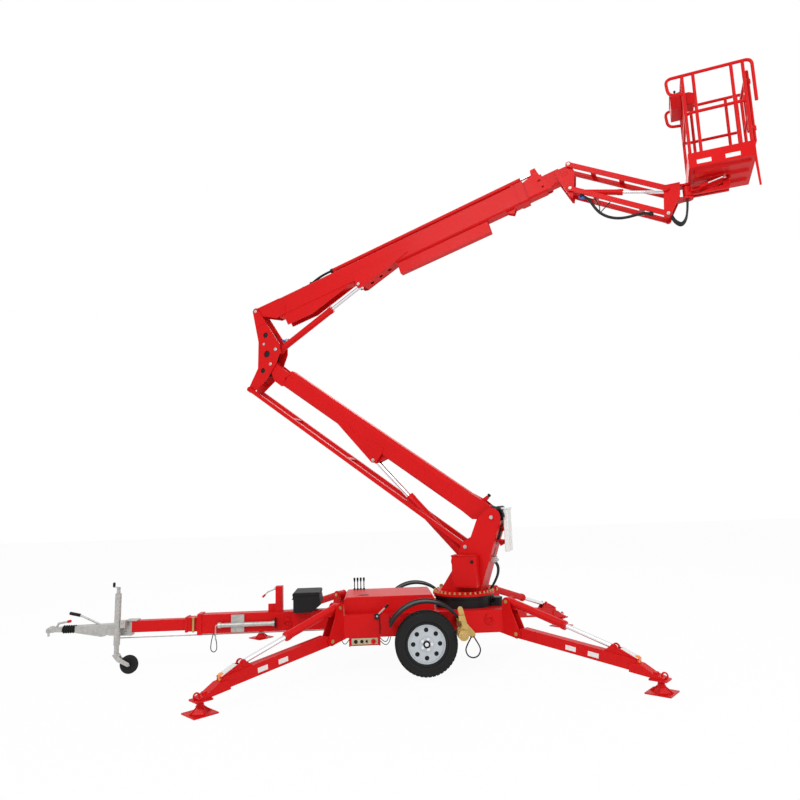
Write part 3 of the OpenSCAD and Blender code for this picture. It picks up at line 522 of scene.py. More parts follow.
def point_seed(name, rows):
    seed = bpy.data.meshes.new(name)
    seed.from_pydata([row[0] for row in rows], [], [])
    for label, column in (("facing", 1), ("side", 2)):
        if len(rows[0]) > column:
            layer = seed.attributes.new(label, "FLOAT_VECTOR", "POINT")
            for k, row in enumerate(rows):
                layer.data[k].vector = row[column]
    return seed


def bolt_on(name, rows, radius, height, body, paint=zinc_grey):
    sizes = {heads_keys["Radius"]: radius * MM, heads_keys["Height"]: 2 * height * MM}
    sizes[heads_keys["Finish"]] = paint
    return grown(name, point_seed(name, rows), heads_tree, sizes, body, paint)


def rounded_path(points, bend):
    """The polyline with each corner turned on a curve that starts bend before it."""
    points = [Vector(point) for point in points]
    path = [points[0]]
    for before, corner, after in zip(points, points[1:], points[2:]):
        reach_in = min(bend, (before - corner).length * 0.48)
        reach_out = min(bend, (after - corner).length * 0.48)
        enter = corner + (before - corner).normalized() * reach_in
        leave = corner + (after - corner).normalized() * reach_out
        for k in range(9):
            t = k / 8
            path.append(enter * (1 - t) ** 2 + corner * 2 * t * (1 - t) + leave * t ** 2)
    path.append(points[-1])
    return path


def pipes(name, place, routes, radius, bend, body, paint):
    curve = bpy.data.curves.new(name, "CURVE")
    curve.dimensions = "3D"
    for route in routes:
        path = [spot(place, point) for point in rounded_path(route, bend)]
        spline = curve.splines.new("POLY")
        spline.points.add(len(path) - 1)
        for item, point in zip(spline.points, path):
            item.co = (*point, 1)
    sizes = {pipes_keys["Radius"]: radius * MM, pipes_keys["Finish"]: paint}
    return grown(name, curve, pipes_tree, sizes, body, paint)


# %% [markdown]
# ## Cords
# A hose hangs free under the jib from a gland near its base to one near its head. A simulation could drop
# it, but both ends and the sag show in the photograph, so its route is a list of points given along the
# arm.


# %% Hanging hoses
def hang(name, place, route, radius, bend, body):
    piece = pipes(name, place, [route], radius, bend, body, hose_rubber)


# %% Hose under the jib
JIB_HOSE = [(180, -42), (215, -46), (260, -64), (310, -98), (370, -142), (440, -178), (520, -196),
            (600, -196), (680, -178), (750, -146), (810, -108), (860, -76), (905, -54),
            (935, -45), (960, -42)]
JIB_HOSE_RADIUS = 16
JIB_HOSE_BEND = 40
JIB_HOSE_Y = -76
GLAND_PROFILE = [(-4, 18), (6, 21), (30, 21), (32, 16), (46, 16)]

route = [(x, JIB_HOSE_Y, z) for x, z in JIB_HOSE]
hang("jib_hose", jib_arm, route, JIB_HOSE_RADIUS, JIB_HOSE_BEND, "jib_lower")
glands = bmesh.new()
for (x, z), outward in ((JIB_HOSE[0], -1), (JIB_HOSE[-1], 1)):
    add_turned(glands, jib_arm, (x, JIB_HOSE_Y, z), (outward, 0, 0), GLAND_PROFILE)
    clamp_x = x + outward * 25
    add_box(glands, jib_arm, (clamp_x - 14, JIB_HOSE_Y - 30, -60), (clamp_x + 14, JIB_HOSE_Y + 22, -20))
make("jib_hose_glands", glands, plastic, "jib_lower")

# %% Branches and valve at the jib
BRANCHES = [[(432, 0, -172), (410, 0, -110), (360, 0, -70), (310, 0, -26)],
            [(440, 0, -176), (462, 0, -120), (485, 0, -60), (500, -10, -26)]]
BRANCH_RADIUS = 6
JIB_COIL_PROFILE = [(0, 12), (3, 19), (58, 19), (62, 13), (74, 9)]

branches = [[(x, JIB_HOSE_Y + y, z) for x, y, z in branch] for branch in BRANCHES]
pipes("jib_hose_branches", jib_arm, branches, BRANCH_RADIUS, JIB_HOSE_BEND, "jib_lower", hose_rubber)
coil_start = (130, JIB_HOSE_Y, -56)
make_turned("jib_valve_coil", jib_arm, coil_start, (1, 0, 0), JIB_COIL_PROFILE, blue, "jib_lower", 24)

# %% [markdown]
# ## Wheels
# A trailer tyre has rows of rubber blocks, every second row half a pitch on. A texture could fake them, but
# the blocks break the tyre's outline, so Geometry Nodes set a real block on each point. The disc carries a
# black collar, a bright cap and five nuts. A brake drum behind it is black and wide enough to fill its
# windows, so the dark seen through them is partly the drum and partly painted shade.

# %% Tread
SIDES = (("left", -1), ("right", 1))
TYRE_RADIUS = (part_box("tyre_left")[1].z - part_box("tyre_left")[0].z) / 2 / MM
CROWN_ROWS, SHOULDER_ROWS = (-22, 22), (-62, 62)
TREAD_ROWS = sorted(CROWN_ROWS + SHOULDER_ROWS)
TREAD_COUNT = 46
TREAD_SIZE = Vector((0.030, 0.034, 0.016))
TREAD_SINK, CROWN_DROP, SHOULDER_DROP = 3, 2, 7
TREAD_SLANT = 0.35

for side_name, sign in SIDES:
    hub = pivot(f"wheel_{side_name}_spin")
    rows = []
    for r, offset in enumerate(TREAD_ROWS):
        drop = CROWN_DROP if offset in CROWN_ROWS else SHOULDER_DROP
        for k in range(TREAD_COUNT):
            angle = 2 * math.pi * (k + 0.5 * (r % 2)) / TREAD_COUNT
            ray = Vector((math.cos(angle), 0, math.sin(angle)))
            slant = Vector((TREAD_SLANT * math.sin(angle), 1, -TREAD_SLANT * math.cos(angle))).normalized()
            reach = TYRE_RADIUS - TREAD_SINK - drop
            rows.append((hub + ray * reach * MM + Vector((0, offset * MM, 0)), ray, slant))
    sizes = {blocks_keys["Size"]: TREAD_SIZE, blocks_keys["Finish"]: rubber}
    grown(f"tread_{side_name}", point_seed("tread", rows), blocks_tree, sizes, f"wheel_{side_name}", rubber)

# %% Hubs, nuts and sidewall rings
NUT_CIRCLE, NUT_COUNT = 52, 5
HUB_FACE, SIDEWALL_FACE = 0.066, 0.0925
SIDEWALL_RINGS = (215, 262, 290)
COLLAR_PROFILE = [(-20, 30), (-20, 38), (14, 38), (16, 35), (16, 24)]
DRUM_AND_SHADE_PROFILE = [(-100, 60), (-100, 172), (-34, 176), (-32, 60)]
CAP_PROFILE = [(-10, 23), (10, 23), (14, 20), (16, 8)]
CENTRE = (0, 0, 0)

for side_name, sign in SIDES:
    body = f"wheel_{side_name}"
    hub = pivot(f"{body}_spin")
    outward = Vector((0, math.copysign(1, hub.y), 0))
    hub_face = hub + outward * HUB_FACE
    nuts = []
    for k in range(NUT_COUNT):
        angle = 2 * math.pi * k / NUT_COUNT
        nuts.append((hub_face + Vector((math.cos(angle), 0, math.sin(angle))) * NUT_CIRCLE * MM, outward))
    bolt_on(f"wheel_nuts_{side_name}", nuts, 11, 13, body, chrome)
    hub_place = Matrix.Translation(hub_face)
    collar = bmesh.new()
    add_turned(collar, hub_place, CENTRE, outward, COLLAR_PROFILE, 32, True)
    # A brake drum, black and wide enough to fill the rim's windows: partly the drum, partly painted shade
    # seen through them.
    add_turned(collar, hub_place, CENTRE, outward, DRUM_AND_SHADE_PROFILE, 48)
    make(f"hub_collar_{side_name}", collar, black, body, 0)
    make_turned(f"hub_cap_{side_name}", hub_place, CENTRE, outward, CAP_PROFILE, chrome, body)
    ring_place = Matrix.Translation(hub + outward * SIDEWALL_FACE)
    bands = bmesh.new()
    for radius in SIDEWALL_RINGS:
        profile = [(-3, radius - 4), (-3, radius + 4), (3.5, radius + 3), (3.5, radius - 3)]
        add_turned(bands, ring_place, CENTRE, outward, profile, 64, True)
    make(f"sidewall_rings_{side_name}", bands, rubber, body, 0)

# %% [markdown]
# ## Mudguards
# A mudguard is a rolled steel band with a bead along each edge, on two flat stays. Bending a flat plate
# would work too, but an outline of two arcs is one plate already, and the bead is a pipe along the same
# arc.


# %% Mudguards
def on_arc(x, z, radius, angles):
    return [(x + radius * math.cos(a), z + radius * math.sin(a)) for a in angles]


GUARD_RADIUS = TYRE_RADIUS + 95
GUARD_WALL = 6
GUARD_FROM, GUARD_TO, GUARD_STEPS = math.radians(37), math.radians(153), 28
GUARD_HALF_WIDTH = 98
BEAD_RADIUS = 13
BEAM_FACE = 500

arc = [GUARD_FROM + (GUARD_TO - GUARD_FROM) * k / GUARD_STEPS for k in range(GUARD_STEPS + 1)]
for side_name, sign in SIDES:
    hub = pivot(f"wheel_{side_name}_spin") / MM
    outline = on_arc(hub.x, hub.z, GUARD_RADIUS, arc)
    outline += on_arc(hub.x, hub.z, GUARD_RADIUS + GUARD_WALL, reversed(arc))
    guard = bmesh.new()
    add_plate(guard, GROUND, outline, hub.y - GUARD_HALF_WIDTH, hub.y + GUARD_HALF_WIDTH)
    for x, z in on_arc(hub.x, hub.z, GUARD_RADIUS - GUARD_WALL / 2, (arc[1], arc[-2])):
        inner, outer = sorted((sign * BEAM_FACE, sign * (abs(hub.y) - 70)))
        add_box(guard, GROUND, (x - 20, inner, z - 8), (x + 20, outer, z + 4))
    guard_piece = make(f"mudguard_{side_name}", guard, black, "chassis")
    middle = on_arc(hub.x, hub.z, GUARD_RADIUS + GUARD_WALL / 2, arc)
    for edge_name, edge_y in (("inner", -sign * GUARD_HALF_WIDTH), ("outer", sign * GUARD_HALF_WIDTH)):
        bead = [(x, hub.y + edge_y, z) for x, z in middle]
        pipes(f"guard_bead_{side_name}_{edge_name}", GROUND, [bead], BEAD_RADIUS, 5, "chassis", black)
    if side_name == "left":
        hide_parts("mudguards")

# %% [markdown]
# ## Friction drives
# A grooved roller between two zinc-plated arms is swung against the tyre by a lever, to shunt the trailer.
# The roller is a turned profile whose grooves come from a loop, and each arm is a plate with two round
# ends. A hose loop hangs from the motor plate.


# %% Friction drives
def arm_outline(first, second, radius):
    """Two round ends joined by straight edges."""
    way = Vector((second[0] - first[0], second[1] - first[1]))
    angle = math.atan2(way.y, way.x)
    turns = [angle + math.pi / 2 + math.pi * k / 10 for k in range(11)]
    return on_arc(*first, radius, turns) + on_arc(*second, -radius, turns)


SHAFT, ROLLER, LEVER_END, MOTOR = (400, 520), (378, 440), (354, 700), (484, 424)
GROOVE_PITCH, GROOVE_COUNT = 38, 4
ARM_SPOTS, ARM_WALL = (665, 880), 13

grooves = [(0, 16), (30, 16), (30, 46)]
for k in range(GROOVE_COUNT):
    start = GROOVE_PITCH * k
    grooves += [(40 + start, 46), (42 + start, 56), (64 + start, 56), (66 + start, 46)]
grooves += [(190, 46), (190, 16), (228, 16), (230, 54), (265, 54), (267, 30), (278, 28)]
drives = bmesh.new()
for side_name, sign in SIDES:
    mirror = Matrix.Diagonal((1, sign, 1, 1))
    add_box(drives, mirror, (355, BEAM_FACE, 470), (445, 550, 570))
    add_bar(drives, mirror, (SHAFT[0], 540, SHAFT[1]), (SHAFT[0], 900, SHAFT[1]), 22)
    for y in ARM_SPOTS:
        add_plate(drives, mirror, arm_outline(SHAFT, ROLLER, 38), y, y + ARM_WALL)
    add_turned(drives, mirror, (ROLLER[0], 660, ROLLER[1]), (0, 1, 0), grooves)
    add_plate(drives, mirror, arm_outline(SHAFT, LEVER_END, 27), 894, 904)
    add_box(drives, mirror, (SHAFT[0] - 70, 903, 590), (SHAFT[0] - 5, 940, 640))
    add_plate(drives, mirror, arm_outline(SHAFT, MOTOR, 34), 782, 800)
drive_piece = make("friction_drives", drives, yellow_zinc, "chassis")
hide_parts("drive_units")

# %% Hose loops at the drives
DRIVE_LOOP = [(472, 404), (420, 318), (404, 270), (427, 213), (484, 190), (541, 213), (564, 270), (548, 318),
              (496, 404)]
DRIVE_LOOP_Y = 808
DRIVE_HOSE_RADIUS, DRIVE_HOSE_BEND = 7, 45

for side_name, sign in SIDES:
    route = [(x, sign * DRIVE_LOOP_Y, z) for x, z in DRIVE_LOOP]
    hang(f"drive_hose_{side_name}", GROUND, route, DRIVE_HOSE_RADIUS, DRIVE_HOSE_BEND, "chassis")

# %% [markdown]
# ## Hood, brake lever and valve levers
# The hood is a folded steel cover with broken edges, so one outline carried across the trailer gives it,
# with a wide bevel. A brake lever stands at its side, and four valve levers behind it, one for each leg.

# %% Hood and brake lever
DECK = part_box("hood")[0].z / MM
HOOD_TOP, HOOD_SHOULDER, HOOD_HALF_WIDTH = 774, 748, 328
HOOD_OUTLINE = [(-868, DECK), (-868, HOOD_SHOULDER), (-842, HOOD_TOP), (114, HOOD_TOP), (140, HOOD_SHOULDER),
                (140, DECK)]
BRAKE_CABLE = [(-486, -508, 575), (-478, -510, 500), (-482, -510, 430), (-470, -480, 376)]
BRAKE_GRIP = [(0, 10), (3, 13), (46, 14), (50, 9), (52, 4)]

hood = bmesh.new()
add_plate(hood, GROUND, HOOD_OUTLINE, -HOOD_HALF_WIDTH, HOOD_HALF_WIDTH)
hood_piece = make("hood_cover", hood, red, "chassis", 5)
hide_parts("hood")
# Black blocks at the hood's top slot and at the brake lever's slot: painted shade in the openings.
opening_shade = bmesh.new()
add_box(opening_shade, GROUND, (-708, -206, HOOD_TOP - 4), (-592, -174, HOOD_TOP + 2))
add_box(opening_shade, GROUND, (-702, -200, HOOD_TOP), (-598, -180, HOOD_TOP + 5))
add_box(opening_shade, GROUND, (-534, -522, 566), (-480, -499, 622))
make("hood_slot_shade", opening_shade, black, "chassis")
arm = bmesh.new()
add_bar(arm, GROUND, (-506, -512, 600), (-405, -520, 690), 9)
add_bar(arm, GROUND, (-506, -526, 594), (-506, -498, 594), 11)
make("brake_lever", arm, zinc_grey, "chassis")
make_turned("brake_lever_grip", GROUND, (-418, -519, 679), (101, -8, 90), BRAKE_GRIP, plastic, "chassis")
pipes("brake_cable", GROUND, [BRAKE_CABLE], 5, 40, "chassis", hose_rubber)

# %% Valve levers
LEVER_PITCH, LEVER_COUNT = 38, 4
LEVER_PROFILE = [(0, 18), (10, 17), (22, 9), (24, 6), (98, 6), (99, 9), (130, 13), (141, 12), (146, 7)]

levers = bmesh.new()
for k in range(LEVER_COUNT):
    add_turned(levers, GROUND, (-768 + LEVER_PITCH * k, 290, 768), UP, LEVER_PROFILE)
make("valve_levers", levers, plastic, "chassis", 0)

# %% [markdown]
# ## Tool box
# A moulded black box with a raked back stands on the drawbar. Its lid overhangs all round and has two
# toggle latches. Two plates with outlines give the rake, which a scaled cube would not.

# %% Tool box
TRAY = 605
BOX_OUTLINE = [(-1450, TRAY), (-1240, TRAY), (-1138, 690), (-1160, 800), (-1450, 800)]
LID_OUTLINE = [(-1458, 790), (-1150, 790), (-1152, 818), (-1166, 826), (-1446, 826), (-1458, 814)]

box_body = bmesh.new()
add_plate(box_body, GROUND, BOX_OUTLINE, -200, 200)
add_plate(box_body, GROUND, LID_OUTLINE, -208, 208)
for y in (-120, 90):
    add_box(box_body, GROUND, (-1466, y, 736), (-1448, y + 30, 806))
    add_bar(box_body, GROUND, (-1470, y + 4, 745), (-1470, y + 26, 745), 6)
tool_box = make("tool_box", box_body, plastic, "chassis", 4)
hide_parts("toolbox")

# %% [markdown]
# ## Overrun coupling
# The coupling is a pressed galvanised housing with a sliding shaft in a rubber bellows, a ball head with
# its latch and lever, and the handbrake. Plates with outlines follow the pressing, and turned profiles give
# the head, the folds of the bellows and the ribs of the grip.

# %% Coupling housing
NOSE = -3290
DRAW_Z = 500
SLIDE_Z = DRAW_Z - 8
HEAD_X = NOSE - 905
BRAKE_ROD_Z = DRAW_Z - 126
HOUSING = [(0, 550), (-160, 538), (-635, SLIDE_Z + 36), (-635, SLIDE_Z - 36), (-340, 402), (-300, 408),
           (-280, 424), (-250, 412), (0, 402)]
TOP_PLATE = [(-70, 562), (60, 562), (60, 574), (-70, 574), (-110, 540), (-100, 534)]
HEAD_CHEEK = [(-905, SLIDE_Z - 20), (-790, SLIDE_Z - 28), (-775, SLIDE_Z + 28), (-905, SLIDE_Z + 24)]
LATCH = [(-972, SLIDE_Z - 30), (-972, SLIDE_Z + 4), (-955, SLIDE_Z + 22), (-936, SLIDE_Z + 12),
         (-936, SLIDE_Z - 28), (-934, SLIDE_Z - 70), (-950, SLIDE_Z - 75), (-956, SLIDE_Z - 34)]
BALL_HEAD = [(0, 36), (4, 42), (50, 42), (66, 22), (68, 10)]
HOUSING_BOLTS = ((-60, 500), (-200, 470), (-60, 440), (-200, 510))

hitch = bmesh.new()
for outline, half_width in ((HOUSING, 45), (TOP_PLATE, 62), (HEAD_CHEEK, 32), (LATCH, 9)):
    add_plate(hitch, GROUND, [(NOSE + x, z) for x, z in outline], -half_width, half_width)
add_bar(hitch, GROUND, (NOSE - 800, 0, SLIDE_Z), (NOSE - 600, 0, SLIDE_Z), 25)
add_turned(hitch, GROUND, (HEAD_X, 0, SLIDE_Z - 28), UP, BALL_HEAD)
add_bar(hitch, GROUND, (NOSE - 860, 0, SLIDE_Z + 20), (NOSE - 832, 0, SLIDE_Z + 72), 12)
add_bar(hitch, GROUND, (NOSE - 838, 0, SLIDE_Z + 66), (NOSE - 700, 0, SLIDE_Z + 88), 11)
add_bar(hitch, GROUND, (NOSE - 396, 20, SLIDE_Z + 44), (NOSE - 612, 20, SLIDE_Z + 146), 11)
add_box(hitch, GROUND, (NOSE - 160, -8, BRAKE_ROD_Z - 7), (NOSE - 144, 8, BRAKE_ROD_Z + 32))
add_bar(hitch, GROUND, (NOSE - 156, 0, BRAKE_ROD_Z), (-961, 0, BRAKE_ROD_Z), 6)
for x, z in HOUSING_BOLTS:
    add_turned(hitch, GROUND, (NOSE + x, -45, z), (0, -1, 0), [(0, 17), (3, 17), (3, 12), (12, 12)], 6)
hitch_piece = make("overrun_coupling", hitch, zinc_grey, "chassis")
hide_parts("coupling")

# %% Bellows and grips
FOLD_PITCH, FOLD_COUNT = 26, 6
RIB_PITCH, RIB_COUNT = 13, 8
LEVER_TIP = [(0, 11), (3, 15), (36, 16), (42, 12), (44, 5)]

folds = [(0, 27)]
for k in range(FOLD_COUNT):
    start = FOLD_PITCH * k
    folds += [(4 + start, 31), (16 + start, 45), (20 + start, 45), (28 + start, 31)]
folds += [(162, 27)]
make_turned("coupling_bellows", GROUND, (NOSE - 790, 0, SLIDE_Z), (1, 0, 0), folds, rubber, "chassis")
ribs = [(0, 12), (4, 19)]
for k in range(RIB_COUNT):
    start = RIB_PITCH * k
    ribs += [(10 + start, 19), (13 + start, 17), (17 + start, 17), (20 + start, 19)]
ribs += [(124, 16), (128, 8)]
grip_start = (NOSE - 605, 20, SLIDE_Z + 143)
make_turned("handbrake_grip", GROUND, grip_start, (-125, 0, 29), ribs, plastic, "chassis")
tip_start = (NOSE - 740, 0, SLIDE_Z + 82)
make_turned("coupling_lever_tip", GROUND, tip_start, (40, 0, 6), LEVER_TIP, red, "chassis")

# %% [markdown]
# ## Jockey wheel
# A steel tube slides in a clamp on the drawbar, with a crank on top and a castor in a bent fork below. The
# tube and fork ride on the sliding leg, and the tyre and its disc on the wheel, so each is a piece of its
# own.

# %% Crank and clamp block
TUBE_X, TUBE_Y = -3424, -120

crank = bmesh.new()
add_bar(crank, GROUND, (TUBE_X, TUBE_Y, 925), (TUBE_X, TUBE_Y, 952), 14)
add_bar(crank, GROUND, (TUBE_X + 20, TUBE_Y, 940), (TUBE_X - 52, TUBE_Y, 954), 8)
add_turned(crank, GROUND, (TUBE_X, TUBE_Y, 440), UP, [(0, 34.5), (4, 42), (24, 42), (28, 34.5)], 32, True)
add_box(crank, GROUND, (-3388, -145, 505), (-3330, -75, 585))
add_bar(crank, GROUND, (-3356, -158, 560), (-3356, -60, 560), 11)
make("jockey_crank", crank, zinc_grey, "chassis")
CRANK_KNOB = [(0, 10), (4, 13), (40, 15), (50, 12), (54, 5)]
make_turned("jockey_crank_knob", GROUND, (TUBE_X - 52, TUBE_Y, 950), UP, CRANK_KNOB, plastic, "chassis")

# %% Castor and fork
CASTOR_TYRE = [(2, 66), (0, 86), (5, 96), (9, 100), (27, 100), (31, 96), (36, 86), (34, 66)]
CASTOR_DISC = [(-1, 9), (-1, 24), (10, 26), (10, 60), (3, 70), (33, 70), (26, 60), (26, 26),
               (37, 24), (37, 9)]
FORK_SIDE = [(-3460, 220), (-3440, 230), (-3395, 230), (-3375, 190), (-3270, 130), (-3262, 100), (-3290, 92),
             (-3405, 150), (-3450, 205)]
FORK_BRIDGE = [(-3460, 220), (-3440, 230), (-3395, 230), (-3382, 208), (-3440, 204)]

castor = pivot("jockey_wheel_spin") / MM
castor_side = (castor.x, castor.y - 18, castor.z)
castor_way = (0, 1, 0)
castor_body = "jockey_wheel"
castor_tyre = make_turned("jockey_tyre", GROUND, castor_side, castor_way, CASTOR_TYRE, rubber,
                          castor_body, 48, True)
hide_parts("jockey_wheel")
make_turned("jockey_disc", GROUND, castor_side, castor_way, CASTOR_DISC, plastic, castor_body, 40, True)
fork = bmesh.new()
add_bar(fork, GROUND, (TUBE_X, TUBE_Y, 210), (TUBE_X, TUBE_Y, 555), 26)
for y in (-152, -96):
    add_plate(fork, GROUND, FORK_SIDE, y, y + 8)
add_plate(fork, GROUND, FORK_BRIDGE, -146, -94)
add_bar(fork, GROUND, (-3280, -158, 112), (-3280, -82, 112), 8)
fork_piece = make("jockey_fork", fork, zinc_grey, "jockey_leg")
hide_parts("jockey_leg")

# %% [markdown]
# ## Drawbar fittings
# The folded boom rests on a post, and a lever pins it there. A sleeve and a drop pin join the drawbar's two
# tubes, a spare jack is stowed along it, and a safety cable hangs under it. These are small turned and
# welded parts, so bars and profiles are enough.

# %% Rest lever, sleeve and pin
REST_Y = -30
REST_TIP = [(0, 8), (4, 11), (38, 12), (44, 7), (46, 3)]
DROP_PIN = [(0, 8), (4, 13), (150, 13), (154, 18), (164, 18), (168, 10)]

rest_lever = bmesh.new()
add_bar(rest_lever, GROUND, (-1668, REST_Y, 862), (-1760, REST_Y, 826), 7)
add_bar(rest_lever, GROUND, (-1748, REST_Y, 836), (-1800, REST_Y, 790), 7)
add_turned(rest_lever, GROUND, (-1672, REST_Y, 862), (-1, 0, 0), [(0, 16), (10, 16), (14, 9)], 20)
make("boom_rest_lever", rest_lever, zinc_grey, "chassis")
make_turned("boom_rest_lever_tip", GROUND, (-1790, REST_Y, 798), (-30, 0, -27), REST_TIP, red, "chassis")
sleeve = bmesh.new()
add_box(sleeve, GROUND, (-2690, -64, 424), (-2535, 64, 578))
add_box(sleeve, GROUND, (-2690, -70, 416), (-2660, 70, 586))
make("drawbar_sleeve", sleeve, red, "chassis", 4)
make_turned("drawbar_pin", GROUND, (-2592, -82, 418), UP, DROP_PIN, yellow_zinc, "chassis", 20)

# %% Stowed jack and safety cable
JACK_Y, JACK_Z = -110, 490
JACK_FLANGE = [(0, 24), (2, 62), (10, 62), (12, 24)]
CABLE_LOOP = [(-2372, 395), (-2394, 310), (-2402, 235), (-2392, 203), (-2366, 188), (-2340, 203),
              (-2330, 235), (-2338, 310), (-2360, 385)]
CABLE_Y = -50
CABLE_RADIUS, CABLE_BEND = 5, 30

jack = bmesh.new()
add_turned(jack, GROUND, (-2312, JACK_Y, JACK_Z), (1, 0, 0), [(0, 22), (6, 31), (40, 31), (44, 25)], 28)
add_turned(jack, GROUND, (-1700, JACK_Y, JACK_Z), (1, 0, 0), [(0, 25), (4, 30), (30, 30), (34, 25)], 28)
make("stowed_jack_ends", jack, zinc_grey, "chassis", 0)
make_turned("stowed_jack_flange", GROUND, (-1668, JACK_Y, JACK_Z), (1, 0, 0), JACK_FLANGE, black, "chassis")
jack_crank = [(-2300, JACK_Y, JACK_Z), (-2334, JACK_Y, JACK_Z), (-2334, JACK_Y, 330)]
pipes("stowed_jack_crank", GROUND, [jack_crank], 7, 14, "chassis", zinc_grey)
route = [(x, CABLE_Y, z) for x, z in CABLE_LOOP]
hang("safety_cable", GROUND, route, CABLE_RADIUS, CABLE_BEND, "chassis")

# %% [markdown]
# ## Lashing rings and ground panel
# Rings on the frame and on the drawbar take the straps that hold the trailer down in transport. Each is a
# pipe round a circle under a welded tab. The ground panel has three knobs, a stop button and its wires.

# %% Lashing rings
RING_SPOTS = [(720, 508, 510), (-1530, 84, 480)]
LASHING_RADIUS, LASHING_STEPS = 40, 24

ring_routes = []
ring_tabs = bmesh.new()
for side_name, sign in SIDES:
    for x, y, z in RING_SPOTS:
        turns = [2 * math.pi * k / LASHING_STEPS for k in range(LASHING_STEPS + 1)]
        circle = [(LASHING_RADIUS * math.sin(a), LASHING_RADIUS * math.cos(a)) for a in turns]
        ring_routes.append([(x + across, sign * y, z + height) for across, height in circle])
        inner, outer = sorted((sign * (y - 14), sign * (y + 10)))
        tab_z = z + LASHING_RADIUS
        add_box(ring_tabs, GROUND, (x - 26, inner, tab_z - 16), (x + 26, outer, tab_z + 18))
pipes("lashing_rings", GROUND, ring_routes, 9, 3, "chassis", red)
make("lashing_tabs", ring_tabs, red, "chassis", 3)

# %% Ground panel
PANEL_Y, PANEL_Z = -502, 335
KNOBS = ((-742, 17), (-676, 14), (-624, 9))
STOP_PROFILE = [(0, 16), (8, 16), (9, 25), (18, 25), (25, 17), (27, 6)]
WIRES = [[(-800, -470, 374), (-830, -470, 330), (-860, -465, 300), (-890, -460, 330), (-900, -455, 376)],
         [(-486, -470, 374), (-450, -475, 330), (-410, -475, 315), (-390, -470, 350), (-380, -460, 376)],
         [(-486, -465, 340), (-440, -468, 290), (-400, -470, 285), (-370, -468, 330), (-360, -460, 376)]]

face = bmesh.new()
add_box(face, GROUND, (-786, -500, 302), (-504, -494, 368))
add_box(face, GROUND, (-776, -503, 310), (-514, -498, 360))
make("ground_panel_face", face, beige, "chassis")
knobs = bmesh.new()
for x, radius in KNOBS:
    profile = [(0, radius + 4), (4, radius + 4), (5, radius), (15, radius - 1), (18, radius - 4)]
    add_turned(knobs, GROUND, (x, PANEL_Y, PANEL_Z), (0, -1, 0), profile)
make("ground_panel_knobs", knobs, plastic, "chassis", 0)
make_turned("ground_stop_button", GROUND, (-552, PANEL_Y, PANEL_Z), (0, -1, 0), STOP_PROFILE, red, "chassis")
pipes("panel_wires", GROUND, WIRES, 4, 30, "chassis", hose_rubber)

# %% [markdown]
# ## Legs
# Each leg carries an amber lamp near its end, blank reflective strips on its sides, ribs on its foot and a
# gland on its cylinder. The four legs differ only in their place, so one loop over their frames makes them
# all.

# %% Lamps, ribs, strips and glands
foot_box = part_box("foot_front_left")
foot_middle = (Vector(foot_box[0]) + Vector(foot_box[1])) / 2
FOOT_ALONG = local(leg_place("front_left"), foot_middle).x
LEG_SLOPE = math.radians(7.3)
LENS_RIDGES = 6
RIB_OUTLINE = [(-112, 11), (112, 11), (34, 70), (-34, 70)]
FOOT_COLLAR = [(0, 40), (10, 40), (14, 33), (30, 33), (32, 29)]
STRIP_SPOTS, STRIP_LENGTH, STRIP_WALL = (560, 800), 112, 2
LUG_PLATE = [(1121, 126), (1123, 130), (1289, 78), (1288, 74)]
LEG_GLAND = [(0, 46), (6, 48), (40, 48), (46, 40), (47.5, 26)]

lens = [(8, 30.8)]
for k in range(LENS_RIDGES):
    lens += [(10 + 8 * k, 31.5 - k), (14 + 8 * k, 30.2 - k)]
lens += [(62, 24.6), (66, 20), (68, 8)]
for corner in CORNERS:
    body = f"leg_{corner}"
    place = leg_place(corner)
    lift = Matrix.Translation((0, 0, pivot(f"{body}_lift").z))
    slope = place @ lift @ Matrix.Rotation(LEG_SLOPE, 4, "Y")
    make_turned(f"lamp_lens_{corner}", slope, (FOOT_ALONG - 205, 0, 30), (0.12, 0, 1), lens, amber, body)
    ribs = bmesh.new()
    for turn in (0, 90):
        spin = Matrix.Rotation(math.radians(turn), 4, "Z")
        tilt = place @ Matrix.Translation((FOOT_ALONG * MM, 0, 0)) @ spin
        add_plate(ribs, tilt, RIB_OUTLINE, -5, 5)
    add_turned(ribs, place, (FOOT_ALONG, 0, 60), UP, FOOT_COLLAR, 24)
    make(f"foot_ribs_{corner}", ribs, red, body)
    strips = bmesh.new()
    for x in STRIP_SPOTS:
        for y in (-48.4, 46.4):
            add_box(strips, slope, (x, y, -20), (x + STRIP_LENGTH, y + STRIP_WALL, 26))
    add_plate(strips, slope, LUG_PLATE, -40, 40)
    make(f"leg_strips_{corner}", strips, white, body, 0.4)
    barrel = f"leg_barrel_{corner}"
    ram = placed(pivot(f"{barrel}_swing"), axis(f"leg_rod_{corner}_slide"), axis(f"{body}_lift"))
    gland = bmesh.new()
    add_turned(gland, ram, (648, 0, 0), (1, 0, 0), LEG_GLAND)
    add_box(gland, ram, (60, -16, 36), (110, 16, 62))
    make(f"leg_gland_{corner}", gland, red, barrel, 0.8)

# %% [markdown]
# ## Slewing ring
# The turntable turns on a ring bearing: a thin red flange with a row of bolts over a black race. The ring's
# own radius and height are read from its CAD node, and the bolts are set by Geometry Nodes round the
# flange.

# %% Ring, race and bolts
ring_low, ring_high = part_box("slew_ring")
RING_TOP = ring_high.z / MM
RING_RADIUS = (ring_high.x - ring_low.x) / 2 / MM
RING_BOLTS = 36
BOLT_INSET, FLANGE_DROP = 20, 20

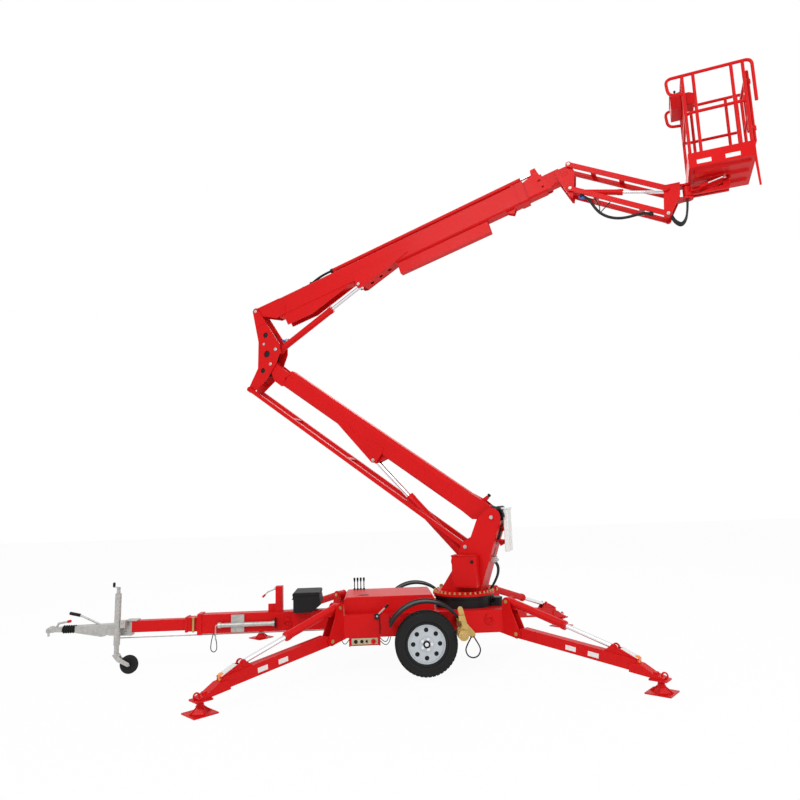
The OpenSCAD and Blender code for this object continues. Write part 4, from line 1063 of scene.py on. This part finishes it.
ring_bolts = []
for k in range(RING_BOLTS):
    angle = 2 * math.pi * k / RING_BOLTS
    ray = Vector((math.cos(angle), math.sin(angle), 0))
    point = (*(ray.xy * (RING_RADIUS - BOLT_INSET)), RING_TOP - FLANGE_DROP)
    ring_bolts.append((spot(turned, point), UP))
bolt_on("slew_bolts", ring_bolts, 11, 22, "turntable", yellow_zinc)
ring_centre = (0, 0, RING_TOP)
flange = [(-48, RING_RADIUS - 8), (-46, RING_RADIUS), (-22, RING_RADIUS), (-FLANGE_DROP, RING_RADIUS - 2),
          (-FLANGE_DROP, RING_RADIUS - 46), (0, RING_RADIUS - 50)]
flange_piece = make_turned("slew_flange", turned, ring_centre, UP, flange, red, "turntable", 72)
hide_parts("slew_ring")
race = [(-75.5, RING_RADIUS - 26), (-74, RING_RADIUS - 12), (-50, RING_RADIUS - 12), (-47, RING_RADIUS - 16)]
make_turned("slew_race", turned, ring_centre, UP, race, black, "turntable", 72)

# %% [markdown]
# ## On the mast
# The control cabinet hangs on the near mast plate, with a lid, a door, hinges and a key switch. A white
# document box stands on two brackets behind the mast. Both are folded boxes, so they are built of boxes
# with soft edges.

# %% Control cabinet
MAST_SIDE = -167
KEY_PROFILE = [(0, 20), (4, 20), (5, 15), (16, 14), (20, 9)]

cabinet = bmesh.new()
add_box(cabinet, turned, (-30, MAST_SIDE - 150, 835), (255, MAST_SIDE, 1178))
add_box(cabinet, turned, (-36, MAST_SIDE - 157, 1176), (261, MAST_SIDE, 1190))
add_box(cabinet, turned, (-18, MAST_SIDE - 155, 850), (243, MAST_SIDE - 148, 1164))
for z in (900, 1100):
    add_bar(cabinet, turned, (-26, MAST_SIDE - 156, z), (-26, MAST_SIDE - 156, z + 46), 7)
cabinet_piece = make("control_cabinet", cabinet, red, "turntable", 4)
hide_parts("mast_box")
key = bmesh.new()
add_turned(key, turned, (212, MAST_SIDE - 154, 1120), (0, -1, 0), KEY_PROFILE)
add_box(key, turned, (206, MAST_SIDE - 180, 1104), (218, MAST_SIDE - 166, 1136))
make("cabinet_key", key, plastic, "turntable")

# %% Document box
BOX_FOOT = 1215
MAST_LEAN = 0.34

papers = bmesh.new()
add_box(papers, turned, (546, -95, BOX_FOOT), (596, 95, 1690))
add_box(papers, turned, (520, -104, 1688), (604, 104, 1712))
make("document_box", papers, white, "turntable", 8)
shelf = bmesh.new()
for z in (1330, 1480):
    add_box(shelf, turned, (395 + (z - BOX_FOOT) * MAST_LEAN, -60, z), (547, 60, z + 14))
    add_plate(shelf, turned, [(445, z + 2), (545, z + 2), (545, z - 24), (475, z - 60)], -6, 6)
make("document_box_brackets", shelf, red, "turntable")

# %% [markdown]
# ## Hoses at the boom foot
# Hoses cross the hinge of the lower boom under a rubber cover. They cross from the boom to the mast and are
# left fixed where they are built, carried by neither. The mast's back plate has three oval slots, and two
# hoses leave it at a manifold.

# %% Hoses and cover over the boom foot
FOOT_HOSE = [(250, 1748), (340, 1738), (425, 1716), (490, 1672), (508, 1610), (500, 1520), (470, 1420),
             (420, 1300)]
FOOT_PIN = (422, 1606)
COVER_RADIUS, COVER_WALL = 130, 12

foot_routes = [[(x, y, z) for x, z in FOOT_HOSE] for y in (-54, -18, 18, 54)]
foot_hoses = pipes("boom_foot_hoses", turned, foot_routes, 12, 60, None, hose_rubber)
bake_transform(foot_hoses)
band = [math.radians(62 - 7 * k) for k in range(10)]
outline = on_arc(*FOOT_PIN, COVER_RADIUS, band) + on_arc(*FOOT_PIN, COVER_RADIUS + COVER_WALL, reversed(band))
cover = bmesh.new()
add_plate(cover, turned, outline, -150, 150)
make("boom_foot_cover", cover, rubber, "turntable", 2)

# %% Slots, hoses and manifold behind the mast
MAST_BACK_LOW, MAST_BACK_HIGH = Vector((255, 0, 780)), Vector((522, 0, 1566))
SLOT_HEIGHTS = (1487, 1333, 1207)
MAST_HOSE_SPOTS = (-40, 10)
FITTING = [(-6, 14), (16, 14), (17, 11), (26, 11)]

climb = MAST_BACK_HIGH - MAST_BACK_LOW
outward = Vector((climb.z, 0, -climb.x))
axes = turned.to_3x3()
# Flat black ovals on the mast's back plate: painted shade where its three slots are.
slot_shade_ovals = bmesh.new()
for z in SLOT_HEIGHTS:
    x = MAST_BACK_LOW.x + (z - MAST_BACK_LOW.z) * climb.x / climb.z
    facing = placed(spot(turned, (x, 0, z)), axes @ climb, axes @ outward)
    add_plate(slot_shade_ovals, facing, arm_outline((-26, 0), (26, 0), 24), -1, 1.5)
make("mast_slot_shade", slot_shade_ovals, black, "turntable", 0)
mast_routes = []
manifold = bmesh.new()
add_box(manifold, turned, (360, -70, 1090), (420, 40, 1150))
for y in MAST_HOSE_SPOTS:
    mast_routes.append([(380, y, 1120), (440, y, 1050), (430, y, 950), (380, y + 20, 860),
                        (330, y + 40, 790)])
    add_turned(manifold, turned, (418, y, 1120), (1, 0, -0.6), FITTING, 6)
pipes("mast_hoses", turned, mast_routes, 10, 60, "turntable", hose_rubber)
make("mast_manifold", manifold, zinc_grey, "turntable")

# %% [markdown]
# ## Booms
# A knob latches the folded boom, and each lift cylinder carries a valve block with a blue coil. Doubler
# plates strengthen the knuckle, black plates just inside it fill its three holes with painted shade, and caps
# and bolts hold its pins. Two hoses feed the telescope cylinder.

# %% Latch knob and cylinder valves
LATCH_KNOB = [(0, 10), (10, 10), (12, 20), (30, 22), (38, 16), (40, 6)]
RAM_COIL = [(0, 13), (3, 17), (34, 17), (37, 12), (44, 8)]
RAMS = (("lower", lower_ram, 130, 55), ("upper", upper_ram, 120, 45))

make_turned("boom_latch_knob", lower_boom, (-192, 0, 150), (0.15, 0, 1), LATCH_KNOB, plastic, "lower_boom")
for name, place, x, barrel in RAMS:
    body = f"{name}_barrel"
    valve = bmesh.new()
    add_box(valve, place, (x, -22, barrel - 8), (x + 74, 22, barrel + 34))
    add_bar(valve, place, (x + 74, 0, barrel + 14), (x + 92, 0, barrel + 14), 9)
    make(f"{name}_ram_valve", valve, zinc_grey, body)
    coil_start = (x + 24, -20, barrel + 16)
    make_turned(f"{name}_ram_coil", place, coil_start, (0, -1, 0), RAM_COIL, blue, body, 24)


# %% Knuckle
def both_sides(place, x, y, z):
    """Where a pin's two ends stand on a member, and which way each faces."""
    rows = []
    for sign in (-1, 1):
        rows.append((spot(place, (x, sign * y, z)), place.to_3x3() @ Vector((0, sign, 0))))
    return rows


KNUCKLE_FACE = 104
DOUBLER = [(-296, 783), (-241, 524), (-170, 593), (-93, 588), (-206, 795)]
HOLE_SHADE_OUTLINE = [(-150, 480), (-40, 480), (10, 210), (10, 95), (-80, -130), (-175, -130)]
KNUCKLE_PINS = ((-256, 793), (0, 0), (80, 200))
SMALL_PIN = (-114, 299)
PIN_CAP = [(0, 25), (8, 25), (12, 22), (14, 15)]

doublers = bmesh.new()
for y in (-KNUCKLE_FACE - 5, KNUCKLE_FACE - 1):
    add_plate(doublers, knuckle, DOUBLER, y, y + 6)
make("knuckle_doublers", doublers, red, "knuckle", 1)
caps = bmesh.new()
for x, z in KNUCKLE_PINS:
    for sign in (-1, 1):
        add_turned(caps, knuckle, (x, sign * (KNUCKLE_FACE - 1), z), (0, sign, 0), PIN_CAP)
make("knuckle_pin_caps", caps, zinc_grey, "knuckle", 0.8)
bolt_on("knuckle_pin_bolts", both_sides(knuckle, SMALL_PIN[0], KNUCKLE_FACE, SMALL_PIN[1]), 13, 6, "knuckle")
# Black plates just inside the knuckle's faces: painted shade in its three holes.
hole_shade = bmesh.new()
for y in (-91.5, 88.5):
    add_plate(hole_shade, knuckle, HOLE_SHADE_OUTLINE, y, y + 3)
make("knuckle_hole_shade", hole_shade, black, "knuckle", 0)

# %% Telescope hoses
TELESCOPE_HOSE = [(760, 52), (900, 70), (1050, 108), (1180, 118), (1262, 114)]
CLIPS = ((770, 24), (900, 40))

telescope_routes = [[(x, y, z) for x, z in TELESCOPE_HOSE] for y in (-14, 14)]
pipes("telescope_hoses", upper_boom, telescope_routes, 9, 60, "upper_boom", hose_rubber)
clips = bmesh.new()
for x, height in CLIPS:
    add_box(clips, upper_boom, (x, -36, 44), (x + 30, 36, 44 + height))
add_turned(clips, upper_boom, (1240, 0, 110), (1, 0, 0), [(0, 20), (4, 34), (40, 34), (44, 30)])
make("telescope_hose_clips", clips, black, "upper_boom")

# %% Pins of booms and legs
MAST_FACE, TIE_FACE, LUG_FACE, BRACKET_FACE = 177, 175, 100, 72

mast_pins = both_sides(turned, FOOT_PIN[0], MAST_FACE, FOOT_PIN[1]) + both_sides(turned, 95, TIE_FACE, 1275)
bolt_on("turntable_main_pins", mast_pins, 15, 8, "turntable")
bolt_on("lower_boom_main_pins", both_sides(lower_boom, -1660, LUG_FACE, -270), 15, 8, "lower_boom")
bolt_on("upper_boom_main_pins", both_sides(upper_boom, 1614, LUG_FACE, -285), 15, 8, "upper_boom")
leg_pins = []
for corner in CORNERS:
    place = leg_place(corner)
    for joint_name in (f"leg_{corner}_lift", f"leg_barrel_{corner}_swing"):
        centre = local(place, pivot(joint_name))
        leg_pins += both_sides(place, centre.x, BRACKET_FACE, centre.z)
bolt_on("leg_pins", leg_pins, 14, 8, "chassis", yellow_zinc)

# %% [markdown]
# ## Jib head
# A bundle of hoses loops under the jib head on its way to the basket, and nuts close the pins of the two
# arms. The loop follows a path, so it is made with the same pipe rule as the rails.

# %% Loop and nuts
HEAD_X_OFFSET = -215
HEAD_LOOP = [(30, 4900), (70, 4815), (130, 4770), (180, 4830), (200, 4930), (212, 5050)]
JIB_FACE = 122
JIB_PINS = {"jib_base": ("jib_lift", "jib_upper_swing"), "jib_head": ("jib_head_level",)}

head_x = swing.x + HEAD_X_OFFSET
head_routes = [[(head_x + x, y, z) for x, z in HEAD_LOOP] for y in (-36, -12, 12, 36)]
pipes("jib_head_hoses", turned, head_routes, 12, 50, "jib_head", hose_rubber)
for body, joint_names in JIB_PINS.items():
    rows = []
    for joint_name in joint_names:
        centre = local(turned, pivot(joint_name))
        rows += both_sides(turned, centre.x, JIB_FACE, centre.z)
    bolt_on(f"{body}_pin_nuts", rows, 13, 8, body)

# %% [markdown]
# ## Basket rails
# The guard rail is bent tube: its ends sweep round at the front and turn down beside the gate. Every rail
# is a route with rounded corners, and one pipe rule makes them all, which is how a tube bender would see
# it.

# %% Rails and gate hinges
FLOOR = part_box("basket_floor")[1].z / MM - 165
RAIL_TOP, RAIL_MID = FLOOR + 1095, FLOOR + 640
RAIL_RADIUS, RAIL_BEND = 17, 70
RAIL_Y = 350 - 6 - 17.2
HINGE_PROFILE = [(0, 24), (3, 27), (45, 27), (48, 24)]
basket_near = swing.x + 20
basket_far = basket_near + 640
post_a, post_b = basket_near + 25, basket_far - 25

rails = []
for y in (-RAIL_Y, RAIL_Y):
    rails.append([(post_a, y, RAIL_TOP - 215), (post_a - 150, y, RAIL_TOP - 200), (post_a - 170, y, RAIL_TOP),
                  (post_b + 88, y, RAIL_TOP), (post_b + 88, y, RAIL_TOP - 480)])
    for x in (post_a, post_a + 110, post_b - 110, post_b):
        rails.append([(x, y, FLOOR + 8), (x, y, RAIL_TOP)])
rails.append([(post_b, -RAIL_Y, RAIL_MID), (post_a, -RAIL_Y, RAIL_MID), (post_a, RAIL_Y, RAIL_MID),
              (post_b, RAIL_Y, RAIL_MID)])
rails.append([(post_a, -RAIL_Y, RAIL_TOP), (post_a, RAIL_Y, RAIL_TOP)])
for y in (-245, -60, 140):
    rails.append([(post_a, y, RAIL_MID), (post_a, y, RAIL_TOP)])
rail_piece = pipes("guard_rails", turned, rails, RAIL_RADIUS, RAIL_BEND, "basket", red)
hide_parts("basket_frame")
gate = local(turned, pivot("gate_swing"))
hinges = bmesh.new()
for z in (FLOOR + 340, FLOOR + 880):
    add_bar(hinges, turned, (post_b, -RAIL_Y, z), (gate.x, gate.y, z), 13)
    add_turned(hinges, turned, (gate.x, gate.y, z - 24), UP, HINGE_PROFILE, 24)
make("gate_hinges", hinges, red, "basket")

# %% [markdown]
# ## Basket floor and controls
# The toe board has two blank strips. Under the floor are three pressed ribs, two arms to the rotating head,
# the rotation cylinder and a flat bar at the entry. The operator's console and a switch box stand at one
# end.

# %% Toe strips and underframe
RIB_SECTION = [(-62, 2), (-44, -22), (44, -22), (62, 2)]
arm_low = swing.z - 110
RIB_START = swing.x + 75

strips = bmesh.new()
for x in (basket_near + 80, basket_near + 355):
    add_box(strips, turned, (x, -352, FLOOR + 30), (x + 140, -349, FLOOR + 76))
make("toe_board_strips", strips, white, "basket", 0.5)
under = bmesh.new()
for y in (-220, 0, 220):
    rib_place = placed(spot(turned, (RIB_START, y, FLOOR)), -across_boom, across_boom.cross(UP))
    add_plate(under, rib_place, RIB_SECTION, 0, basket_far - 40 - RIB_START)
arm_outline_low = [(swing.x + 30, arm_low + 2), (swing.x + 120, arm_low + 2), (swing.x + 438, FLOOR - 60)]
arm_outline_high = [(swing.x + 438, FLOOR), (swing.x + 300, FLOOR), (swing.x + 110, arm_low + 60),
                    (swing.x + 30, arm_low + 60)]
for y in (-50, 20):
    add_plate(under, turned, arm_outline_low + arm_outline_high, y, y + 30)
entry_bar = [(basket_far - 30, FLOOR + 60), (basket_far - 2, FLOOR + 60), (basket_far + 10, FLOOR - 335),
             (basket_far - 10, FLOOR - 335)]
add_plate(under, turned, entry_bar, -353, -345)
add_bar(under, turned, (swing.x + 122, -95, arm_low + 56), (swing.x + 210, -112, arm_low + 75), 20)
make("basket_underframe", under, red, "basket", 2)
ROD_EYE = [(0, 12), (4, 16), (50, 16), (54, 12), (84, 12)]
rotation_rod = bmesh.new()
add_bar(rotation_rod, turned, (swing.x + 205, -111, arm_low + 74), (swing.x + 362, -126, arm_low + 106), 9)
add_turned(rotation_rod, turned, (swing.x + 370, -126, FLOOR - 84), UP, ROD_EYE, 20)
make("basket_rotation_rod", rotation_rod, chrome, "basket", 0)

# %% Switch box and console
CONSOLE_TOP = FLOOR + 1034
STICK = [(0, 16), (6, 14), (8, 6), (40, 6), (42, 12), (60, 13), (66, 6)]
STOP_BUTTON = [(0, 11), (12, 11), (13, 20), (20, 20), (26, 12), (27, 4)]
console_x = basket_near - 100

switch_outline = [(post_a + 18, RAIL_TOP - 285), (post_a + 105, RAIL_TOP - 285),
                  (post_a + 105, RAIL_TOP - 160), (post_a + 60, RAIL_TOP - 140),
                  (post_a + 18, RAIL_TOP - 140)]
switch = bmesh.new()
add_plate(switch, turned, switch_outline, -220, -60)
make("basket_switch_box", switch, red, "basket", 4)
console_outline = [(console_x - 6, FLOOR + 1018), (console_x - 6, FLOOR + 1030),
                   (console_x + 104, FLOOR + 1046), (console_x + 104, FLOOR + 1018)]
console = bmesh.new()
add_plate(console, turned, console_outline, -116, 156)
for y in (-70, 20, 110):
    add_turned(console, turned, (console_x + 55, y, CONSOLE_TOP), UP, STICK, 20)
make("basket_console", console, plastic, "basket", 2)
stop_start = (console_x + 24, -30, CONSOLE_TOP)
make_turned("basket_stop_button", turned, stop_start, UP, STOP_BUTTON, red, "basket", 24)
